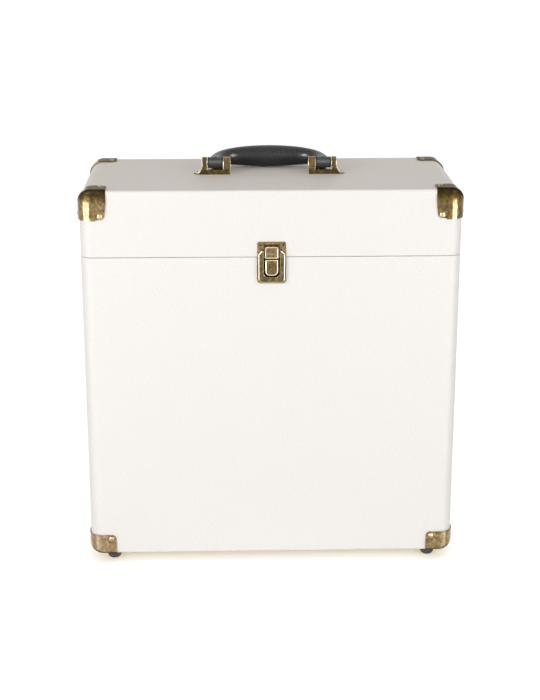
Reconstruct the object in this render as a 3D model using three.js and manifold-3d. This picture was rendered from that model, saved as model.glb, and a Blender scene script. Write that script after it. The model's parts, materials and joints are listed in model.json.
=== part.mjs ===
// Record carrying case: a tall board case covered in leatherette, with a shallow hinged lid,
// stamped brass corners, a press latch on the front and a moulded handle that folds down.
// Millimetres, +Z up, the front faces -Y. The origin is on the floor, under the middle.

import * as THREE from 'three';
import { mergeVertices } from 'three/addons/utils/BufferGeometryUtils.js';
import Module from 'manifold-3d';

const wasm = await Module();
wasm.setup();

// The case
const caseWidth = 370;
const caseDepth = 172;
const caseHeight = 377;
const lidHeight = 65.5;
const seamGap = 0.8;
const boardThickness = 7;
const sideEdgeRadius = 12.5;
const frontEdgeRadius = 2.5;
const smallestRadius = 1.5;
const liningThickness = 1;
const lipThickness = 3;
const lipStand = 8;
const lipDepth = 45;
const lipClearance = 0.7;

// Seats and cuts
const seat = 0.3;
const pinClearance = 0.15;
const overrun = 2;
const mergeTolerance = 0.001;

// Stamped corners
const cornerThickness = 1.2;
const cornerAlongWidth = 26.5;
const cornerLongLeg = 29;
const cornerShortLeg = 20.5;
const cornerTipRadius = 4.5;
const cornerTabStep = 1;
const cornerSlitWidth = 0.9;
const cornerSlitLength = 8;
const cornerSlitFromEdge = 9.5;
const cornerSlitFromTip = 7.6;

// Corner nails
const nailHeadRadius = 3;
const nailHeadHeight = 1.5;
const nailShankRadius = 0.9;
const nailShankLength = 6;
const nailFromEdge = 5;
const nailFromTip = 4.2;

// Feet
const footHeight = 9.6;
const footRadius = 7.1;
const footFlatRadius = 3.2;
const footRoundHeight = 5;
const footTaper = 0.4;
const footStemRadius = 2.5;
const footStemLength = 5;
const footFromSide = 23;
const footFromFront = 14;

// Carrying handle
const handlePinSpacing = 108.6;
const handlePinHeight = 11.2;
const handlePinRadius = 2;
const handleReach = 38;
const handleBend = 22;
const handleGripRadius = 10.9;
const handleBarrelRadius = 5.8;
const handleBarrelLength = 15.2;
const handleSwellShare = 1.8;

// Handle brackets
const bracketSideClearance = 0.5;
const bracketDepth = 14;
const bracketBaseHeight = 5;
const bracketPostRadius = 5.8;
const bracketInnerPost = 7;
const bracketOuterPost = 5;
const bracketFlare = 4.6;
const bracketTabLength = 4;
const bracketTabThickness = 1.6;
const bracketScrewRadius = 1.3;

// Press latch
const latchWidth = 28.3;
const latchFlange = 1.2;
const latchPlateThickness = 0.8;
const latchPlateHeight = 15.3;
const latchPlateRadius = 2.2;
const latchNailRadius = 0.8;
const latchNailSpacing = 22.4;
const latchNailFromTop = 4.1;
const latchBaseBelowSeam = 26;
const latchBaseAboveSeam = 7.3;
const latchShoulder = 3.6;
const latchBaseRadius = 4;
const latchBaseProud = 4.5;
const latchBevel = 1.3;
const latchChannelWidth = 14.8;
const latchChannelBottom = 19.2;
const latchChannelRadius = 4.8;
const latchSkin = 0.9;

// Hasp
const haspWidth = 12.8;
const haspAboveSeam = 11.4;
const haspBelowSeam = 0.4;
const haspPinRadius = 0.6;
const haspRollRadius = 1.7;
const haspKnuckleRadius = 1;
const haspSkin = 1;
const haspCornerRadius = 1.2;
const haspKnuckleWidth = 5;
const haspKnuckleClearance = 0.25;

// Latch button and its spring
const buttonWidth = 12.2;
const buttonBelowSeam = 2;
const buttonHeight = 15.6;
const buttonRadius = 4;
const buttonThickness = 1.7;
const buttonTravel = 1.3;
const buttonStemRadius = 1.6;
const buttonCupRadius = 4;
const buttonCupDepth = 4;
const springRadius = 2.7;
const springWireRadius = 0.35;
const springTurns = 4;

// Rear hinges
const hingeSpacing = 220;
const hingeWidth = 32;
const hingeLeafHeight = 20;
const hingeLeafThickness = 1;
const hingeLeafRadius = 3;
const hingeKnuckleRadius = 2;
const hingeLidKnuckle = 10.6;
const hingePinRadius = 1;
const hingeScrewRadius = 1.5;
const hingeScrewSpacing = 20;
const hingeScrewFromEdge = 6;
const hingePinHeadRadius = 1.6;
const hingePinHeadLength = 0.8;

// Facet counts
const arcSteps = 3;
const roundSides = 16;
const smallSides = 12;
const nailSides = 10;
const holeSides = 8;
const handleSides = 16;
const handleSteps = 30;
const coilSteps = 8;
const coilSides = 5;

// Worked out from the sizes above
const quarterTurn = Math.PI / 2;
const halfWidth = caseWidth / 2;
const halfDepth = caseDepth / 2;
const bodyHeight = caseHeight - lidHeight;
const seamZ = footHeight + bodyHeight;
const lidTopZ = footHeight + caseHeight;
const brassOuter = seat + cornerThickness;
const haspPinY = -seat - latchPlateThickness - seat - haspRollRadius;
const haspPinZ = haspAboveSeam - haspRollRadius;
const buttonMiddleZ = -buttonBelowSeam - buttonHeight / 2;
const hingeAxisBehind = seat + hingeLeafThickness / 2 + hingeKnuckleRadius;
const barrelGap = handleBarrelLength + 2 * bracketSideClearance;
const bracketPostToPost = bracketInnerPost + barrelGap + bracketOuterPost;
const bracketLength = bracketPostToPost + bracketFlare + bracketTabLength;

// Helpers

function solidOf(geometry) {
  geometry.deleteAttribute('normal');
  geometry.deleteAttribute('uv');
  const merged = mergeVertices(geometry, mergeTolerance);
  const vertProperties = new Float32Array(merged.attributes.position.array);
  const triVerts = new Uint32Array(merged.index.array);
  return new wasm.Manifold(new wasm.Mesh({ numProp: 3, vertProperties, triVerts }));
}

function geometryOf(solid) {
  const { vertProperties, triVerts } = solid.getMesh();
  const geometry = new THREE.BufferGeometry();
  geometry.setAttribute('position', new THREE.BufferAttribute(vertProperties, 3));
  geometry.setIndex(new THREE.BufferAttribute(triVerts, 1));
  geometry.computeVertexNormals();
  return geometry;
}

function mirroredInX(geometry) {
  const mirrored = geometry.clone().scale(-1, 1, 1);
  const index = mirrored.index.array;
  for (let corner = 0; corner < index.length; corner += 3) {
    [index[corner], index[corner + 1]] = [index[corner + 1], index[corner]];
  }
  mirrored.computeVertexNormals();
  return mirrored;
}

function meshOf(name, geometry, material) {
  const mesh = new THREE.Mesh(geometry, material);
  mesh.name = name;
  return mesh;
}

// An outline in plan, in width and depth, made solid between two heights
function planPrism(shape, low, high) {
  const geometry = new THREE.ExtrudeGeometry(shape, {
    depth: high - low, bevelEnabled: false, curveSegments: arcSteps,
  });
  return solidOf(geometry.translate(0, 0, low));
}

// An outline seen from the front, in width and height, made solid between two depths
function frontPrism(shape, near, far) {
  const geometry = new THREE.ExtrudeGeometry(shape, {
    depth: far - near, bevelEnabled: false, curveSegments: arcSteps,
  });
  return solidOf(geometry.rotateX(quarterTurn).translate(0, far, 0));
}

// An outline seen from the right, in depth and height, made solid between two widths
function sidePrism(shape, left, right) {
  const geometry = new THREE.ExtrudeGeometry(shape, {
    depth: right - left, bevelEnabled: false, curveSegments: arcSteps,
  });
  const stand = new THREE.Matrix4().makeBasis(
    new THREE.Vector3(0, 1, 0), new THREE.Vector3(0, 0, 1), new THREE.Vector3(1, 0, 0));
  return solidOf(geometry.applyMatrix4(stand).translate(left, 0, 0));
}

function block(low, high) {
  const size = new THREE.Vector3().subVectors(high, low);
  const middle = new THREE.Vector3().addVectors(low, high).multiplyScalar(0.5);
  const geometry = new THREE.BoxGeometry(size.x, size.y, size.z);
  return solidOf(geometry.translate(middle.x, middle.y, middle.z));
}

// A round bar between two points that lie on a line along one axis
function roundBar(from, to, radius, sides) {
  const along = new THREE.Vector3().subVectors(to, from);
  const geometry = new THREE.CylinderGeometry(radius, radius, along.length(), sides);
  const turn = new THREE.Quaternion().setFromUnitVectors(
    new THREE.Vector3(0, 1, 0), along.clone().normalize());
  const middle = new THREE.Vector3().addVectors(from, to).multiplyScalar(0.5);
  return solidOf(geometry.applyQuaternion(turn).translate(middle.x, middle.y, middle.z));
}

function at(x, y, z) {
  return new THREE.Vector3(x, y, z);
}

function roundedRect(left, right, low, high, radius) {
  const shape = new THREE.Shape();
  shape.absarc(right - radius, high - radius, radius, 0, quarterTurn);
  shape.absarc(left + radius, high - radius, radius, quarterTurn, 2 * quarterTurn);
  shape.absarc(left + radius, low + radius, radius, 2 * quarterTurn, 3 * quarterTurn);
  shape.absarc(right - radius, low + radius, radius, 3 * quarterTurn, 4 * quarterTurn);
  return shape;
}

// A box whose edges along the depth and the height are well rounded and whose edges
// along the width are only eased: the form of the covered board case
function easedBox(left, right, near, far, low, high, bigRadius, easedRadius) {
  const frontView = frontPrism(
    roundedRect(left, right, low, high, bigRadius), near - overrun, far + overrun);
  const plan = planPrism(
    roundedRect(left, right, near, far, bigRadius), low - overrun, high + overrun);
  const sideView = sidePrism(
    roundedRect(near, far, low, high, easedRadius), left - overrun, right + overrun);
  return frontView.intersect(plan).intersect(sideView);
}

function caseForm(grow) {
  return easedBox(
    -halfWidth - grow, halfWidth + grow,
    -halfDepth - grow, halfDepth + grow,
    footHeight - grow, lidTopZ + grow,
    Math.max(sideEdgeRadius + grow, smallestRadius),
    Math.max(frontEdgeRadius + grow, smallestRadius));
}

function slab(low, high) {
  return block(
    at(-caseWidth, -caseDepth, low),
    at(caseWidth, caseDepth, high));
}

// Materials

function finish(colour, roughness, metalness) {
  return new THREE.MeshStandardMaterial({ color: colour, roughness, metalness, flatShading: true });
}

const leatherette = finish(0xf4efe6, 0.6, 0);
const liningCloth = finish(0x2b2926, 0.95, 0);
const antiqueBrass = finish(0x75623a, 0.4, 1);
const blackGrip = finish(0x26262a, 0.5, 0);
const footRubber = finish(0x2a2828, 0.8, 0);
const steel = finish(0x9a9a98, 0.35, 1);

// Where each of the eight corners sits. The same stamping serves top and bottom: it is
// turned a quarter about the case's width. Front right and back left take the other hand.
function cornerPlaces() {
  const places = [];
  for (const level of ['bottom', 'top']) {
    for (const face of ['front', 'back']) {
      for (const side of ['left', 'right']) {
        const place = new THREE.Object3D();
        const isFront = face === 'front';
        const isTop = level === 'top';
        place.position.set(
          side === 'left' ? -halfWidth : halfWidth,
          isFront ? -halfDepth : halfDepth,
          isTop ? lidTopZ : footHeight);
        place.rotation.set(isTop ? 0 : quarterTurn, 0, isFront ? 0 : 2 * quarterTurn, 'ZYX');
        place.updateMatrix();
        const hand = (side === 'left') === isFront ? 1 : -1;
        places.push({ name: `${level}_${face}_${side}`, level, hand, place });
      }
    }
  }
  return places;
}

// The nail of each leg of a corner, in the corner's own frame: the case's corner point is
// the origin, and the case lies towards +X (times the hand), +Y and -Z
function nailSeats(hand) {
  const acrossWidth = hand * (cornerAlongWidth - nailFromEdge);
  const alongLong = cornerLongLeg - nailFromTip;
  const alongShort = cornerShortLeg - nailFromTip;
  return [
    { leg: 'wide', seat: at(acrossWidth, 0, -alongLong), outward: at(0, -1, 0) },
    { leg: 'cap', seat: at(acrossWidth, alongShort, 0), outward: at(0, 0, 1) },
    { leg: 'side', seat: at(0, alongShort, -alongLong), outward: at(-hand, 0, 0) },
  ];
}

function nailHole(seatPoint, outward) {
  const outside = seatPoint.clone().addScaledVector(outward, brassOuter + overrun);
  const inside = seatPoint.clone().addScaledVector(outward, -nailShankLength);
  return roundBar(outside, inside, nailShankRadius + seat, holeSides);
}

function nailHolesInCase(level) {
  const holes = [];
  for (const corner of cornerPlaces().filter((entry) => entry.level === level)) {
    for (const nail of nailSeats(corner.hand)) {
      const place = nail.seat.clone().applyMatrix4(corner.place.matrix);
      const outward = nail.outward.clone().transformDirection(corner.place.matrix);
      holes.push(nailHole(place, outward));
    }
  }
  return holes;
}

function footPlaces() {
  const places = [];
  for (const face of ['front', 'back']) {
    for (const side of ['left', 'right']) {
      const x = (side === 'left' ? -1 : 1) * (halfWidth - footFromSide);
      const y = (face === 'front' ? -1 : 1) * (halfDepth - footFromFront);
      places.push({ name: `foot_${face}_${side}`, x, y });
    }
  }
  return places;
}

function footHole(x, y) {
  return roundBar(
    at(x, y, footHeight - brassOuter - overrun),
    at(x, y, footHeight + footStemLength + seat),
    footStemRadius + seat, holeSides);
}

function latchPocket() {
  const z = seamZ + buttonMiddleZ;
  return roundBar(
    at(0, -halfDepth - overrun, z),
    at(0, -halfDepth + buttonCupDepth + latchSkin + seat, z),
    buttonCupRadius + latchSkin + 2 * seat, smallSides);
}

// The covered board shells, their linings and the lip

function makeBodyShell() {
  let shell = caseForm(0).intersect(slab(-overrun, seamZ - seamGap / 2));
  shell = shell.subtract(caseForm(-boardThickness));
  for (const hole of nailHolesInCase('bottom')) {
    shell = shell.subtract(hole);
  }
  for (const foot of footPlaces()) {
    shell = shell.subtract(footHole(foot.x, foot.y));
  }
  shell = shell.subtract(latchPocket());
  return meshOf('body_shell', geometryOf(shell), leatherette);
}

function makeLidShell() {
  let shell = caseForm(0).intersect(slab(seamZ + seamGap / 2, lidTopZ + overrun));
  shell = shell.subtract(caseForm(-boardThickness));
  for (const hole of nailHolesInCase('top')) {
    shell = shell.subtract(hole);
  }
  return meshOf('lid_shell', geometryOf(shell), leatherette);
}

function liningSkin() {
  return caseForm(-boardThickness - seat).subtract(caseForm(-boardThickness - seat - liningThickness));
}

function makeBodyLining() {
  const lining = liningSkin().intersect(slab(0, seamZ - seamGap));
  return meshOf('body_lining', geometryOf(lining), liningCloth);
}

function makeLidLining() {
  const lining = liningSkin().intersect(slab(seamZ + seamGap, lidTopZ));
  return meshOf('lid_lining', geometryOf(lining), liningCloth);
}

// A thin wall that lines the mouth of the body and stands up into the lid
function makeMouthLip() {
  const outer = -boardThickness - seat - liningThickness - lipClearance;
  const wall = caseForm(outer).subtract(caseForm(outer - lipThickness));
  const lip = wall.intersect(slab(seamZ - lipDepth, seamZ + lipStand));
  return meshOf('mouth_lip', geometryOf(lip), liningCloth);
}

// Stamped corner, left hand, in the frame that nailSeats names

function cornerForm(grow) {
  const reach = 2 * cornerLongLeg;
  return easedBox(
    -grow, reach, -grow, reach, -reach, grow,
    sideEdgeRadius + grow, frontEdgeRadius + grow);
}

// One leg's outline: from beyond the case's corner to a rounded free tip, with the nail
// tab a little shorter than the part that wraps round the edge
function legOutline(along, down, tab) {
  const shape = new THREE.Shape();
  shape.moveTo(-overrun, overrun);
  shape.lineTo(along, overrun);
  shape.lineTo(along, -down + tab + cornerTipRadius);
  shape.absarc(along - cornerTipRadius, -down + tab + cornerTipRadius, cornerTipRadius,
    0, -quarterTurn, true);
  shape.lineTo(along - cornerSlitFromEdge, -down + tab);
  shape.lineTo(along - cornerSlitFromEdge, -down);
  shape.lineTo(-overrun, -down);
  return shape;
}

// The same outline laid in plan, where the second direction runs to the back
function capOutline(along, back) {
  const shape = new THREE.Shape();
  shape.moveTo(-overrun, -overrun);
  shape.lineTo(along, -overrun);
  shape.lineTo(along, back - cornerTipRadius);
  shape.absarc(along - cornerTipRadius, back - cornerTipRadius, cornerTipRadius, 0, quarterTurn);
  shape.lineTo(-overrun, back);
  return shape;
}

function cornerLegs() {
  const wide = frontPrism(
    legOutline(cornerAlongWidth, cornerLongLeg, cornerTabStep), -brassOuter - overrun, sideEdgeRadius);
  const cap = planPrism(
    capOutline(cornerAlongWidth, cornerShortLeg), -sideEdgeRadius, brassOuter + overrun);
  const side = sidePrism(
    legOutline(cornerShortLeg, cornerLongLeg, 0), -brassOuter - overrun, sideEdgeRadius);
  return wide.add(cap).add(side);
}

function cornerSlits() {
  const outside = -brassOuter - overrun;
  const slitFromWidth = cornerAlongWidth - cornerSlitFromEdge;
  const slitBack = cornerShortLeg - cornerSlitFromTip;
  const wideSlit = block(
    at(slitFromWidth - cornerSlitWidth, outside, -cornerLongLeg - overrun),
    at(slitFromWidth, cornerThickness, -cornerLongLeg + cornerSlitLength));
  const capSlit = block(
    at(cornerAlongWidth - cornerSlitLength, slitBack - cornerSlitWidth, -cornerThickness),
    at(cornerAlongWidth + overrun, slitBack, -outside));
  const sideSlit = block(
    at(outside, cornerShortLeg - cornerSlitLength, -cornerLongLeg + cornerSlitFromTip),
    at(cornerThickness, cornerShortLeg + overrun, -cornerLongLeg + cornerSlitFromTip + cornerSlitWidth));
  return wideSlit.add(capSlit).add(sideSlit);
}

function makeCornerGeometry() {
  let corner = cornerForm(brassOuter).subtract(cornerForm(seat));
  corner = corner.intersect(cornerLegs()).subtract(cornerSlits());
  for (const nail of nailSeats(1)) {
    corner = corner.subtract(nailHole(nail.seat, nail.outward));
  }
  return corner;
}

// The bottom corners carry the feet on their wide leg, which lies under the case there
function footHoleInCorner(corner) {
  return corner.subtract(roundBar(
    at(footFromSide, -brassOuter - overrun, -footFromFront),
    at(footFromSide, overrun, -footFromFront),
    footStemRadius + seat, holeSides));
}

function makeNailGeometry() {
  const profile = new THREE.Path();
  profile.moveTo(0, -nailShankLength);
  profile.lineTo(nailShankRadius, -nailShankLength);
  profile.lineTo(nailShankRadius, 0);
  profile.lineTo(nailHeadRadius, 0);
  profile.quadraticCurveTo(nailHeadRadius, nailHeadHeight, 0, nailHeadHeight);
  const geometry = new THREE.LatheGeometry(profile.getPoints(arcSteps), nailSides);
  return geometryOf(solidOf(geometry.rotateX(quarterTurn)));
}

function makeCorners() {
  const group = new THREE.Group();
  const plain = makeCornerGeometry();
  const topLeftHand = geometryOf(plain);
  const bottomLeftHand = geometryOf(footHoleInCorner(plain));
  const nailGeometry = makeNailGeometry();
  for (const corner of cornerPlaces()) {
    const leftHand = corner.level === 'top' ? topLeftHand : bottomLeftHand;
    const geometry = corner.hand > 0 ? leftHand : mirroredInX(leftHand);
    const holder = new THREE.Group();
    holder.position.copy(corner.place.position);
    holder.rotation.copy(corner.place.rotation);
    holder.add(meshOf(`corner_${corner.name}`, geometry, antiqueBrass));
    for (const nail of nailSeats(corner.hand)) {
      const mesh = meshOf(`nail_${corner.name}_${nail.leg}`, nailGeometry, antiqueBrass);
      mesh.position.copy(nail.seat).addScaledVector(nail.outward, brassOuter + seat);
      mesh.quaternion.setFromUnitVectors(at(0, 0, 1), nail.outward);
      holder.add(mesh);
    }
    group.add(holder);
  }
  return group;
}

// Rubber feet, each seated on the brass leg under the case and held by its stem
function makeFootGeometry() {
  const top = footHeight - brassOuter - seat;
  const profile = new THREE.Path();
  profile.moveTo(0, 0);
  profile.lineTo(footFlatRadius, 0);
  profile.quadraticCurveTo(footRadius - footTaper, 0, footRadius - footTaper, footRoundHeight);
  profile.lineTo(footRadius, top);
  profile.lineTo(footStemRadius, top);
  profile.lineTo(footStemRadius, footHeight + footStemLength);
  profile.lineTo(0, footHeight + footStemLength);
  const geometry = new THREE.LatheGeometry(profile.getPoints(2 * arcSteps), roundSides);
  return geometryOf(solidOf(geometry.rotateX(quarterTurn)));
}

function makeFeet() {
  const group = new THREE.Group();
  const geometry = makeFootGeometry();
  for (const foot of footPlaces()) {
    const mesh = meshOf(foot.name, geometry, footRubber);
    mesh.position.set(foot.x, foot.y, 0);
    group.add(mesh);
  }
  return group;
}

// Carrying handle, drawn standing up from its pins and then folded back on the lid

function handleCentreLine() {
  const armX = handlePinSpacing / 2;
  const bendX = armX - handleBend;
  const bendZ = handleReach - handleBend;
  const path = new THREE.CurvePath();
  path.add(new THREE.LineCurve3(at(-armX, 0, 0), at(-armX, 0, bendZ)));
  path.add(new THREE.QuadraticBezierCurve3(
    at(-armX, 0, bendZ), at(-armX, 0, handleReach), at(-bendX, 0, handleReach)));
  path.add(new THREE.LineCurve3(at(-bendX, 0, handleReach), at(bendX, 0, handleReach)));
  path.add(new THREE.QuadraticBezierCurve3(
    at(bendX, 0, handleReach), at(armX, 0, handleReach), at(armX, 0, bendZ)));
  path.add(new THREE.LineCurve3(at(armX, 0, bendZ), at(armX, 0, 0)));
  return path;
}

// A unit cylinder whose rings are carried along the centre line, thickest in the middle
function handleLoft() {
  const path = handleCentreLine();
  const geometry = new THREE.CylinderGeometry(1, 1, 1, handleSides, handleSteps);
  const places = geometry.attributes.position;
  const across = at(0, 1, 0);
  const ringPoint = new THREE.Vector3();
  for (let index = 0; index < places.count; index += 1) {
    ringPoint.fromBufferAttribute(places, index);
    const share = ringPoint.y + 0.5;
    const centre = path.getPointAt(share);
    const along = path.getTangentAt(share);
    const outward = new THREE.Vector3().crossVectors(along, across);
    const swell = Math.sin(Math.PI * share) ** handleSwellShare;
    const radius = THREE.MathUtils.lerp(handleBarrelRadius, handleGripRadius, swell);
    centre.addScaledVector(outward, ringPoint.x * radius);
    centre.addScaledVector(across, ringPoint.z * radius);
    places.setXYZ(index, centre.x, centre.y, centre.z);
  }
  return solidOf(geometry);
}

function makeHandle() {
  const armX = handlePinSpacing / 2;
  const halfBarrel = handleBarrelLength / 2;
  const beyond = halfBarrel + overrun;
  let grip = handleLoft();
  for (const x of [-armX, armX]) {
    grip = grip.add(roundBar(
      at(x - halfBarrel, 0, 0), at(x + halfBarrel, 0, 0), handleBarrelRadius, handleSides));
    grip = grip.subtract(roundBar(
      at(x - beyond, 0, 0), at(x + beyond, 0, 0), handlePinRadius + seat, smallSides));
  }
  const holder = new THREE.Group();
  holder.position.set(0, 0, lidTopZ + handlePinHeight);
  holder.rotation.set(-quarterTurn, 0, 0);
  holder.add(meshOf('handle_grip', geometryOf(grip), blackGrip));
  return holder;
}

// One handle bracket, seen from the front: inner post, low seat for the barrel, an outer
// post that flares into its foot, and a thin screw tab. Inner end at zero, outer end at +X.
function bracketOutline() {
  const postTop = handlePinHeight + bracketPostRadius;
  const outerStart = bracketInnerPost + barrelGap;
  const outerEnd = outerStart + bracketOuterPost;
  const flareEnd = outerEnd + bracketFlare;
  const shape = new THREE.Shape();
  shape.moveTo(0, seat);
  shape.lineTo(flareEnd + bracketTabLength, seat);
  shape.lineTo(flareEnd + bracketTabLength, seat + bracketTabThickness);
  shape.lineTo(flareEnd, seat + bracketTabThickness);
  shape.lineTo(flareEnd, bracketBaseHeight);
  shape.quadraticCurveTo(outerEnd, bracketBaseHeight, outerEnd, postTop);
  shape.lineTo(outerStart, postTop);
  shape.lineTo(outerStart, bracketBaseHeight);
  shape.lineTo(bracketInnerPost, bracketBaseHeight);
  shape.lineTo(bracketInnerPost, postTop);
  shape.lineTo(0, postTop);
  return shape;
}

// The same bracket seen from the side: a wide foot and a narrower post with a round head
function bracketSideOutline() {
  const halfFoot = bracketDepth / 2;
  const shape = new THREE.Shape();
  shape.moveTo(-halfFoot, 0);
  shape.lineTo(halfFoot, 0);
  shape.lineTo(halfFoot, bracketBaseHeight);
  shape.lineTo(bracketPostRadius, handlePinHeight);
  shape.absarc(0, handlePinHeight, bracketPostRadius, 0, 2 * quarterTurn);
  shape.lineTo(-halfFoot, bracketBaseHeight);
  return shape;
}

function makeBracketGeometry() {
  const halfFoot = bracketDepth / 2;
  const beyond = bracketLength + overrun;
  const front = frontPrism(bracketOutline(), -halfFoot - overrun, halfFoot + overrun);
  const side = sidePrism(bracketSideOutline(), -overrun, beyond);
  const plan = planPrism(
    roundedRect(-halfFoot, bracketLength, -halfFoot, halfFoot, halfFoot), -overrun,
    handlePinHeight + 2 * bracketPostRadius);
  const bore = roundBar(
    at(-overrun, 0, handlePinHeight), at(beyond, 0, handlePinHeight),
    handlePinRadius + seat, smallSides);
  let bracket = front.intersect(side).intersect(plan).subtract(bore);
  for (const x of [bracketInnerPost + barrelGap / 2, bracketLength - bracketTabLength / 2]) {
    bracket = bracket.subtract(roundBar(
      at(x, 0, -overrun), at(x, 0, bracketBaseHeight + overrun), bracketScrewRadius, holeSides));
  }
  return geometryOf(bracket);
}

function makeHandleHardware() {
  const group = new THREE.Group();
  const rightGeometry = makeBracketGeometry();
  const innerEnd = (handlePinSpacing - barrelGap) / 2 - bracketInnerPost;
  const halfPin = bracketPostToPost / 2;
  const pin = geometryOf(roundBar(
    at(-halfPin, 0, 0), at(halfPin, 0, 0), handlePinRadius, smallSides));
  for (const side of ['left', 'right']) {
    const sign = side === 'left' ? -1 : 1;
    const geometry = sign > 0 ? rightGeometry : mirroredInX(rightGeometry);
    const bracket = meshOf(`handle_bracket_${side}`, geometry, antiqueBrass);
    bracket.position.set(sign * innerEnd, 0, lidTopZ);
    const pinMesh = meshOf(`handle_pin_${side}`, pin, steel);
    pinMesh.position.set(sign * (innerEnd + halfPin), 0, lidTopZ + handlePinHeight);
    group.add(bracket, pinMesh);
  }
  return group;
}

// Press latch, drawn about the seam: X across, Z from the seam, Y zero on the case's face

// A flat plate between two depths whose front edges, inside and out, are bevelled
function bevelledPlate(shape, front, back, bevel) {
  const geometry = new THREE.ExtrudeGeometry(shape, {
    depth: back - front, bevelEnabled: true, bevelThickness: bevel, bevelSize: bevel,
    bevelOffset: -bevel, bevelSegments: 1, curveSegments: arcSteps,
  });
  const plate = solidOf(geometry.rotateX(quarterTurn).translate(0, back + bevel, 0));
  const keep = block(
    at(-latchWidth, front - overrun, -2 * latchBaseBelowSeam),
    at(latchWidth, back, 2 * latchBaseBelowSeam));
  return plate.intersect(keep);
}

function makeLatchLidPlate() {
  const half = latchWidth / 2;
  const low = seamGap / 2;
  const outline = new THREE.Shape();
  outline.moveTo(-half, low);
  outline.lineTo(half, low);
  outline.absarc(half - latchPlateRadius, latchPlateHeight - latchPlateRadius, latchPlateRadius,
    0, quarterTurn);
  outline.absarc(-half + latchPlateRadius, latchPlateHeight - latchPlateRadius, latchPlateRadius,
    quarterTurn, 2 * quarterTurn);
  const front = -seat - latchPlateThickness;
  let plate = frontPrism(outline, front, -seat);
  const knuckleHalf = haspKnuckleWidth / 2;
  plate = plate.add(roundBar(
    at(-knuckleHalf, haspPinY, haspPinZ), at(knuckleHalf, haspPinY, haspPinZ),
    haspKnuckleRadius, smallSides));
  plate = plate.add(block(
    at(-knuckleHalf, haspPinY, haspPinZ - haspKnuckleRadius), at(knuckleHalf, -seat, haspPinZ)));
  plate = plate.subtract(roundBar(
    at(-half, haspPinY, haspPinZ), at(half, haspPinY, haspPinZ),
    haspPinRadius + pinClearance, smallSides));
  for (const x of [-latchNailSpacing / 2, latchNailSpacing / 2]) {
    const z = latchPlateHeight - latchNailFromTop;
    plate = plate.subtract(roundBar(
      at(x, front - overrun, z), at(x, overrun, z), latchNailRadius, holeSides));
  }
  return meshOf('latch_lid_plate', geometryOf(plate), antiqueBrass);
}

function latchBaseOutline() {
  const half = latchWidth / 2;
  const low = -latchBaseBelowSeam;
  const high = latchBaseAboveSeam;
  const shape = new THREE.Shape();
  shape.moveTo(half - latchShoulder, high);
  shape.lineTo(-half + latchShoulder, high);
  shape.lineTo(-half, high - latchShoulder);
  shape.absarc(-half + latchBaseRadius, low + latchBaseRadius, latchBaseRadius,
    2 * quarterTurn, 3 * quarterTurn);
  shape.absarc(half - latchBaseRadius, low + latchBaseRadius, latchBaseRadius,
    3 * quarterTurn, 4 * quarterTurn);
  shape.lineTo(half, high - latchShoulder);
  return shape;
}

// The raised housing with its channel, open at the top, for the hasp and the button
function latchHousingOutline() {
  const half = latchWidth / 2 - latchFlange;
  const low = -latchBaseBelowSeam + latchFlange;
  const high = latchBaseAboveSeam;
  const channel = latchChannelWidth / 2;
  const shape = new THREE.Shape();
  shape.moveTo(channel, high);
  shape.lineTo(channel, -latchChannelBottom + latchChannelRadius);
  shape.absarc(channel - latchChannelRadius, -latchChannelBottom + latchChannelRadius,
    latchChannelRadius, 0, -quarterTurn, true);
  shape.absarc(-channel + latchChannelRadius, -latchChannelBottom + latchChannelRadius,
    latchChannelRadius, -quarterTurn, -2 * quarterTurn, true);
  shape.lineTo(-channel, high);
  shape.lineTo(-half + latchShoulder, high);
  shape.lineTo(-half, high - latchShoulder);
  shape.absarc(-half + latchBaseRadius, low + latchBaseRadius, latchBaseRadius,
    2 * quarterTurn, 3 * quarterTurn);
  shape.absarc(half - latchBaseRadius, low + latchBaseRadius, latchBaseRadius,
    3 * quarterTurn, 4 * quarterTurn);
  shape.lineTo(half, high - latchShoulder);
  shape.lineTo(half - latchShoulder, high);
  return shape;
}

function makeLatchBase() {
  const floorFront = -seat - latchSkin;
  const overLid = -seat - latchPlateThickness - seat;
  const cupBack = buttonCupDepth + latchSkin;
  const floor = frontPrism(latchBaseOutline(), floorFront, -seat);
  const housing = bevelledPlate(latchHousingOutline(), -latchBaseProud, floorFront, latchBevel);
  const cup = roundBar(
    at(0, floorFront, buttonMiddleZ), at(0, cupBack, buttonMiddleZ),
    buttonCupRadius + latchSkin, roundSides);
  const cupHollow = roundBar(
    at(0, floorFront - overrun, buttonMiddleZ), at(0, buttonCupDepth, buttonMiddleZ),
    buttonCupRadius, roundSides);
  const lidPlateRoom = block(
    at(-latchWidth, overLid, -seamGap / 2), at(latchWidth, overrun, 2 * latchBaseAboveSeam));
  const base = floor.add(housing).add(cup).subtract(cupHollow).subtract(lidPlateRoom);
  return meshOf('latch_base', geometryOf(base), antiqueBrass);
}

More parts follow.
